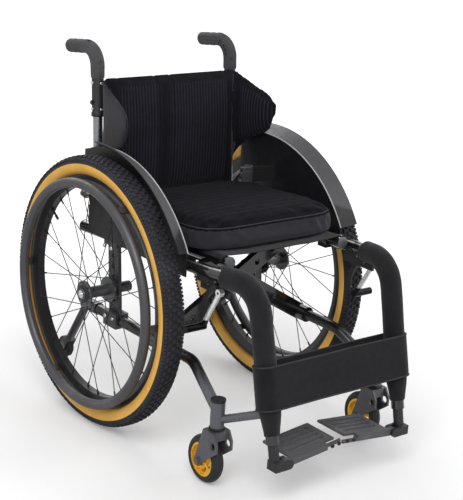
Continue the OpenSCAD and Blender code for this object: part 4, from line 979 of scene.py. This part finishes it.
def make_strap():
    """A flat band round both legs with a rolled edge above and below."""
    low_z, wide, thick, r = 205.0, 88.0, 2.4, 26.0
    drawn, belly_h, sway, sway_l, roll_r, roll_off = 2.6, 1.3, 1.2, 55, 2.1, 0.4
    x0 = leg_x(low_z + wide / 2)
    up = Vector((0, math.sin(LEG_SLOPE), math.cos(LEG_SLOPE)))
    ahead = Vector((0, -math.cos(LEG_SLOPE), math.sin(LEG_SLOPE)))
    foot = at(0, leg_y(low_z), low_z)

    def loop(off, count=(28, 14)):
        """Points of the loop, seen from above, with how slack each is."""
        runs, bends = count
        pts = []
        for k in range(runs):
            t = k / runs
            slack = math.sin(math.pi * t)
            pts.append((-x0 + 2 * x0 * t, r + off - drawn * slack, slack))
        for k in range(bends):
            a = math.pi / 2 - math.pi * k / bends
            pts.append((x0 + (r + off) * math.cos(a), (r + off) * math.sin(a), 0))
        for k in range(runs):
            t = k / runs
            slack = math.sin(math.pi * t)
            pts.append((x0 - 2 * x0 * t, -r - off + drawn * slack, slack))
        for k in range(bends):
            a = -math.pi / 2 - math.pi * k / bends
            pts.append((-x0 + (r + off) * math.cos(a), (r + off) * math.sin(a), 0))
        return pts

    def put(x, v, h):
        return foot + (Vector((x, 0, 0)) + ahead * v + up * h) * MM

    def height(x, t, slack):
        return wide * t + sway * slack * math.sin(x / sway_l) * (t - 0.5)

    rows = 14
    shape, points = Shape(), []
    loops = [loop(-thick / 2), loop(thick / 2)]
    n = len(loops[0])
    for pts in loops:
        for j in range(rows + 1):
            t = j / rows
            for x, v, slack in pts:
                belly = belly_h * slack * math.sin(2.3 * math.pi * t + x / 90) * (1 if v > 0 else -1)
                points.append(put(x, v + belly, height(x, t, slack)))
    size, faces = n * (rows + 1), []
    for j in range(rows):
        for i in range(n):
            p, q = j * n + i, j * n + (i + 1) % n
            faces.append([p, q, q + n, p + n])
            faces.append([size + p, size + p + n, size + q + n, size + q])
    for i in range(n):
        k = (i + 1) % n
        top = rows * n
        faces.append([i, size + i, size + k, k])
        faces.append([top + i, top + k, size + top + k, size + top + i])
    shape.add(points, faces)
    band = shape.make("strap_band", strap_cloth, sharp=60)
    rolls = Shape()
    for t in (0, 1):
        path = [put(x, v, height(x, t, slack)) for x, v, slack in loop(roll_off)]
        rolls.tube(path, roll_r, 10, closed=True)
    rolls = rolls.make("strap_piping", piping_black, sharp=180)
    for obj in (band, rolls):
        place(obj, "right_frame", "cloth")
        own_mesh(obj)
    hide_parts("calf_strap")


def make_belt():
    """A short web from the left guard with one half of a clip buckle."""
    start = Vector((211.0, -32.0, 533.3))
    end = start + Vector((-58.0, 7.0, 3.5))
    wide, thick, steps, bow, twist = 37.0, 2.2, 12, 1.6, 4
    path = [start.lerp(end, k / steps) + Vector((0, bow * math.sin(k / steps * math.pi), 0))
            for k in range(steps + 1)]
    points, faces = [], []
    for i, p in enumerate(path):
        lean = math.radians(twist - 2 * twist * i / steps)
        up = Vector((0, math.sin(lean), math.cos(lean)))
        out = Vector((0, math.cos(lean), -math.sin(lean)))
        for a, b in ((-1, -1), (-1, 1), (1, 1), (1, -1)):
            q = p + up * (a * wide / 2) + out * (b * thick / 2)
            points.append(at(q.x, q.y, q.z))
    for i in range(steps):
        p = i * 4
        faces += [[p + k, p + (k + 1) % 4, p + 4 + (k + 1) % 4, p + 4 + k] for k in range(4)]
    last = steps * 4
    faces += [[0, 1, 2, 3], [last + 3, last + 2, last + 1, last]]
    strip = Shape()
    strip.add(points, faces)
    belt = strip.make("belt_web", web, sharp=40)
    place(belt, "left_frame", "cloth", ["lap_belt"])
    way = (end - start).normalized()
    up = Vector((0, -0.07, 1)).normalized()
    out = way.cross(up).normalized()
    clip = Shape()
    mid = end + way * 15

    def spot(along, high, deep=0.0):
        p = mid + way * along + up * high + out * deep
        return at(p.x, p.y, p.z)

    clip.box(spot(2, 0), (way, up, out), (24, 40, 10.5), 0, 2.4)
    clip.box(spot(-12, 0), (way, up, out), (8, 44, 5.5), 0, 1.6)
    for high in (-15.5, 15.5):
        clip.box(spot(16, high), (way, up, out), (9, 7.5, 9), 0, 1.8, 0.9)
    clip.box(spot(15, 0), (way, up, out), (7, 12, 7), 0, 1.6)
    clip.box(spot(2, 0, 4.6), (way, up, out), (15, 17, 2.6), 0, 0.9, 0.9)
    clip.box(spot(2, 0, -4.6), (way, up, out), (15, 17, 2.6), 0, 0.9, 0.9)
    for high in (-21.6, 21.6):
        clip.box(spot(2, high), (way, up, out), (12, 3.5, 5.5), 0, 0.9)
    place(clip.make("belt_buckle", buckle_grey, sharp=30), "left_frame", "black_plastic")


make_strap()
make_belt()


# Leg pads and hand grips


def make_leg_pad(side, sign):
    pad = remeshed(side + "_foam_pad", side + "_leg_pad", 4)
    eased(pad, 2)
    finer(pad)
    co, no = points_of(pad.data), normals_of(pad.data)
    move = np.zeros(len(co))
    knee = np.array(at(sign * KNEE_X, -455, 420))
    for i, p in enumerate(co):
        near = math.exp(-(np.linalg.norm(p - knee) / 0.06) ** 2)
        crease = noise.noise(Vector(p) * 26.0) * 0.5 + noise.noise(Vector(p) * 70.0) * 0.3
        move[i] = crease * (0.35 + 0.7 * near)
    co = co + no * ((move - 0.35) * MM)[:, None]
    # the pad grows thinner below the strap
    taper_from, taper_to, taper, leg_front = 205.0, 150.0, 0.28, -420
    for p in co:
        z = p[2] / MM
        axis = np.array(at(sign * leg_x(z), leg_y(z), z))
        if z < taper_from and p[1] < at(0, leg_front, 0).y:
            share = 1 - taper * smooth_step((taper_from - z) / (taper_from - taper_to))
            p[:2] = axis[:2] + (p[:2] - axis[:2]) * share
    set_points(pad.data, co)
    pad.data.materials.append(foam)
    shade(pad.data, 180)
    place(pad, side + "_frame", "pad_foam", [side + "_leg_pad"])


def make_grip(side, sign):
    grip = remeshed(side + "_foam_grip", side + "_hand_grip", 3)
    eased(grip, 3)
    finer(grip)
    grip.data.materials.append(grip_foam)
    shade(grip.data, 180)
    place(grip, side + "_frame", "grip_rubber", [side + "_hand_grip"])


for side, sign in SIDES:
    make_leg_pad(side, sign)
    make_grip(side, sign)


# Bolts, caps, a bearing cup, trim and a painted highlight on each guard


def make_guard_highlight(side, sign):
    """A light grey bar along the inner edge of the guard's flange: a painted highlight on the flange's lip.
    """
    edge = Shape()
    path = []
    start, sweep, steps = 30, 66, 60
    for k in range(steps + 1):
        a = math.radians(start + sweep * k / steps)
        path.append(at(GUARD_EDGE_X, -GUARD_R * math.cos(a), WHEEL_R + GUARD_R * math.sin(a)))
    edge.tube(path, 1.5, 8)
    highlight_strip = edge.make(side + "_guard_highlight_strip", painted_highlight_grey, mirror=sign, sharp=60)
    place(highlight_strip, side + "_frame", "guard_plastic")


def make_hardware(side, sign):
    bright, dark = Shape(), Shape()
    outward = Vector((1, 0, 0))
    sleeve_r, sleeve_low, tower_x, tower_half, tower_lean = 13.3, 676, 220.2, 14, math.radians(5)
    bracket_x, bracket_low = 206, 419.1
    # two bolts through the handle's sleeve, just under the grip
    for z in (690, 748):
        y = cane_y(z)
        bright.bolt(at(CANE_X + sleeve_r, y, z), outward, 4.0, 2.6)
        bright.bolt(at(CANE_X, y - sleeve_r, z), (0, -1, 0), 3.2, 2.0)
    # collar at the sleeve's low end
    dark.lathe(at(CANE_X, cane_y(sleeve_low), sleeve_low), (0, math.sin(RECLINE), math.cos(RECLINE)),
               [(11.4, -3), (14.6, -3), (15.0, -1.5), (15.0, 5), (14.0, 6.5), (11.4, 6.5)], 28, 0, True)
    # bolts of the seat rail and the axle tower
    for y in (-290, 8):
        bright.bolt(at(RAIL_X + 0.5, y, rail_z(y) + RAIL_R - 0.6), (0, 0, 1), 4.2, 3.2)
    for z in (240, 402):
        for off in (-tower_half, tower_half):
            bright.bolt(at(tower_x, (z - WHEEL_R) * math.tan(tower_lean) + off, z), outward, 4.6, 3.4)
    # brake bracket screws
    for y in (-338, -318):
        bright.bolt(at(bracket_x, y, bracket_low), (0, 0, -1), 4.0, 3.0)
    for shape, name, material, slot in ((bright, "bolts", silver, "bright_metal"),
                                        (dark, "collars", black_plastic, "black_plastic")):
        place(shape.make(side + "_frame_" + name, material, mirror=sign), side + "_frame", slot)


def make_caster_trim(side, sign):
    """Bolts of the caster's axle, and the lower bearing cup of its head."""
    bolts, cup = Shape(), Shape()
    caster_x, fork_half, caster_y, caster_z, stem_y, head_low = 224, 22, -388, 52, -418, 130
    outward = Vector((1, 0, 0))
    for way in (-1, 1):
        bolts.bolt(at(caster_x + way * fork_half, caster_y, caster_z), outward * way, 6.5, 3.6)
    place(bolts.make(side + "_caster_bolts", satin_black, mirror=sign), side + "_fork", "black_paint")
    profile = [(13, -0.2), (16.2, -0.2), (16.8, 1.0), (16.8, 4.5), (15.2, 5.6), (13, 5.6)]
    cup.lathe(at(caster_x, stem_y, head_low), (0, 0, 1), profile, 32, 0, True)
    place(cup.make(side + "_head_cup", black_plastic, mirror=sign), side + "_frame", "black_plastic")


def make_foot_trim(side, sign):
    """Bolts on the footplate's bar."""
    screws = Shape()
    hinge_x, hinge_y, hinge_z, slope, bar_half, drop = 149, -553.85, 92, math.radians(6), 7.0, 2
    for x in (12, 30):
        z = hinge_z + (hinge_x - x) * math.tan(slope) - drop
        screws.bolt(at(x, hinge_y - bar_half, z), (0, -1, 0), 4.4, 2.6)
    place(screws.make(side + "_foot_screws", satin_black, mirror=sign), side + "_foot", "foot_plastic")


def make_tube_plugs():
    """Caps in the front ends of the seat tubes."""
    front = -343
    profile = [(12.3, -1), (13.2, -0.2), (13.4, 2.0), (12.6, 3.6), (9.0, 5.0), (4.0, 5.6), (0.3, 5.7)]
    for body, sign in (("cross_a", 1), ("cross_b", -1)):
        plug = Shape()
        nose = at(sign * TUBE_X, front, tube_z(front))
        way = Vector((0, -math.cos(DUMP), math.sin(DUMP)))
        plug.lathe(nose, way, profile, 32)
        place(plug.make(body + "_tube_plug", hub_grey), body, "black_plastic")


for side, sign in SIDES:
    make_guard_highlight(side, sign)
    make_hardware(side, sign)
    make_caster_trim(side, sign)
    make_foot_trim(side, sign)
make_tube_plugs()
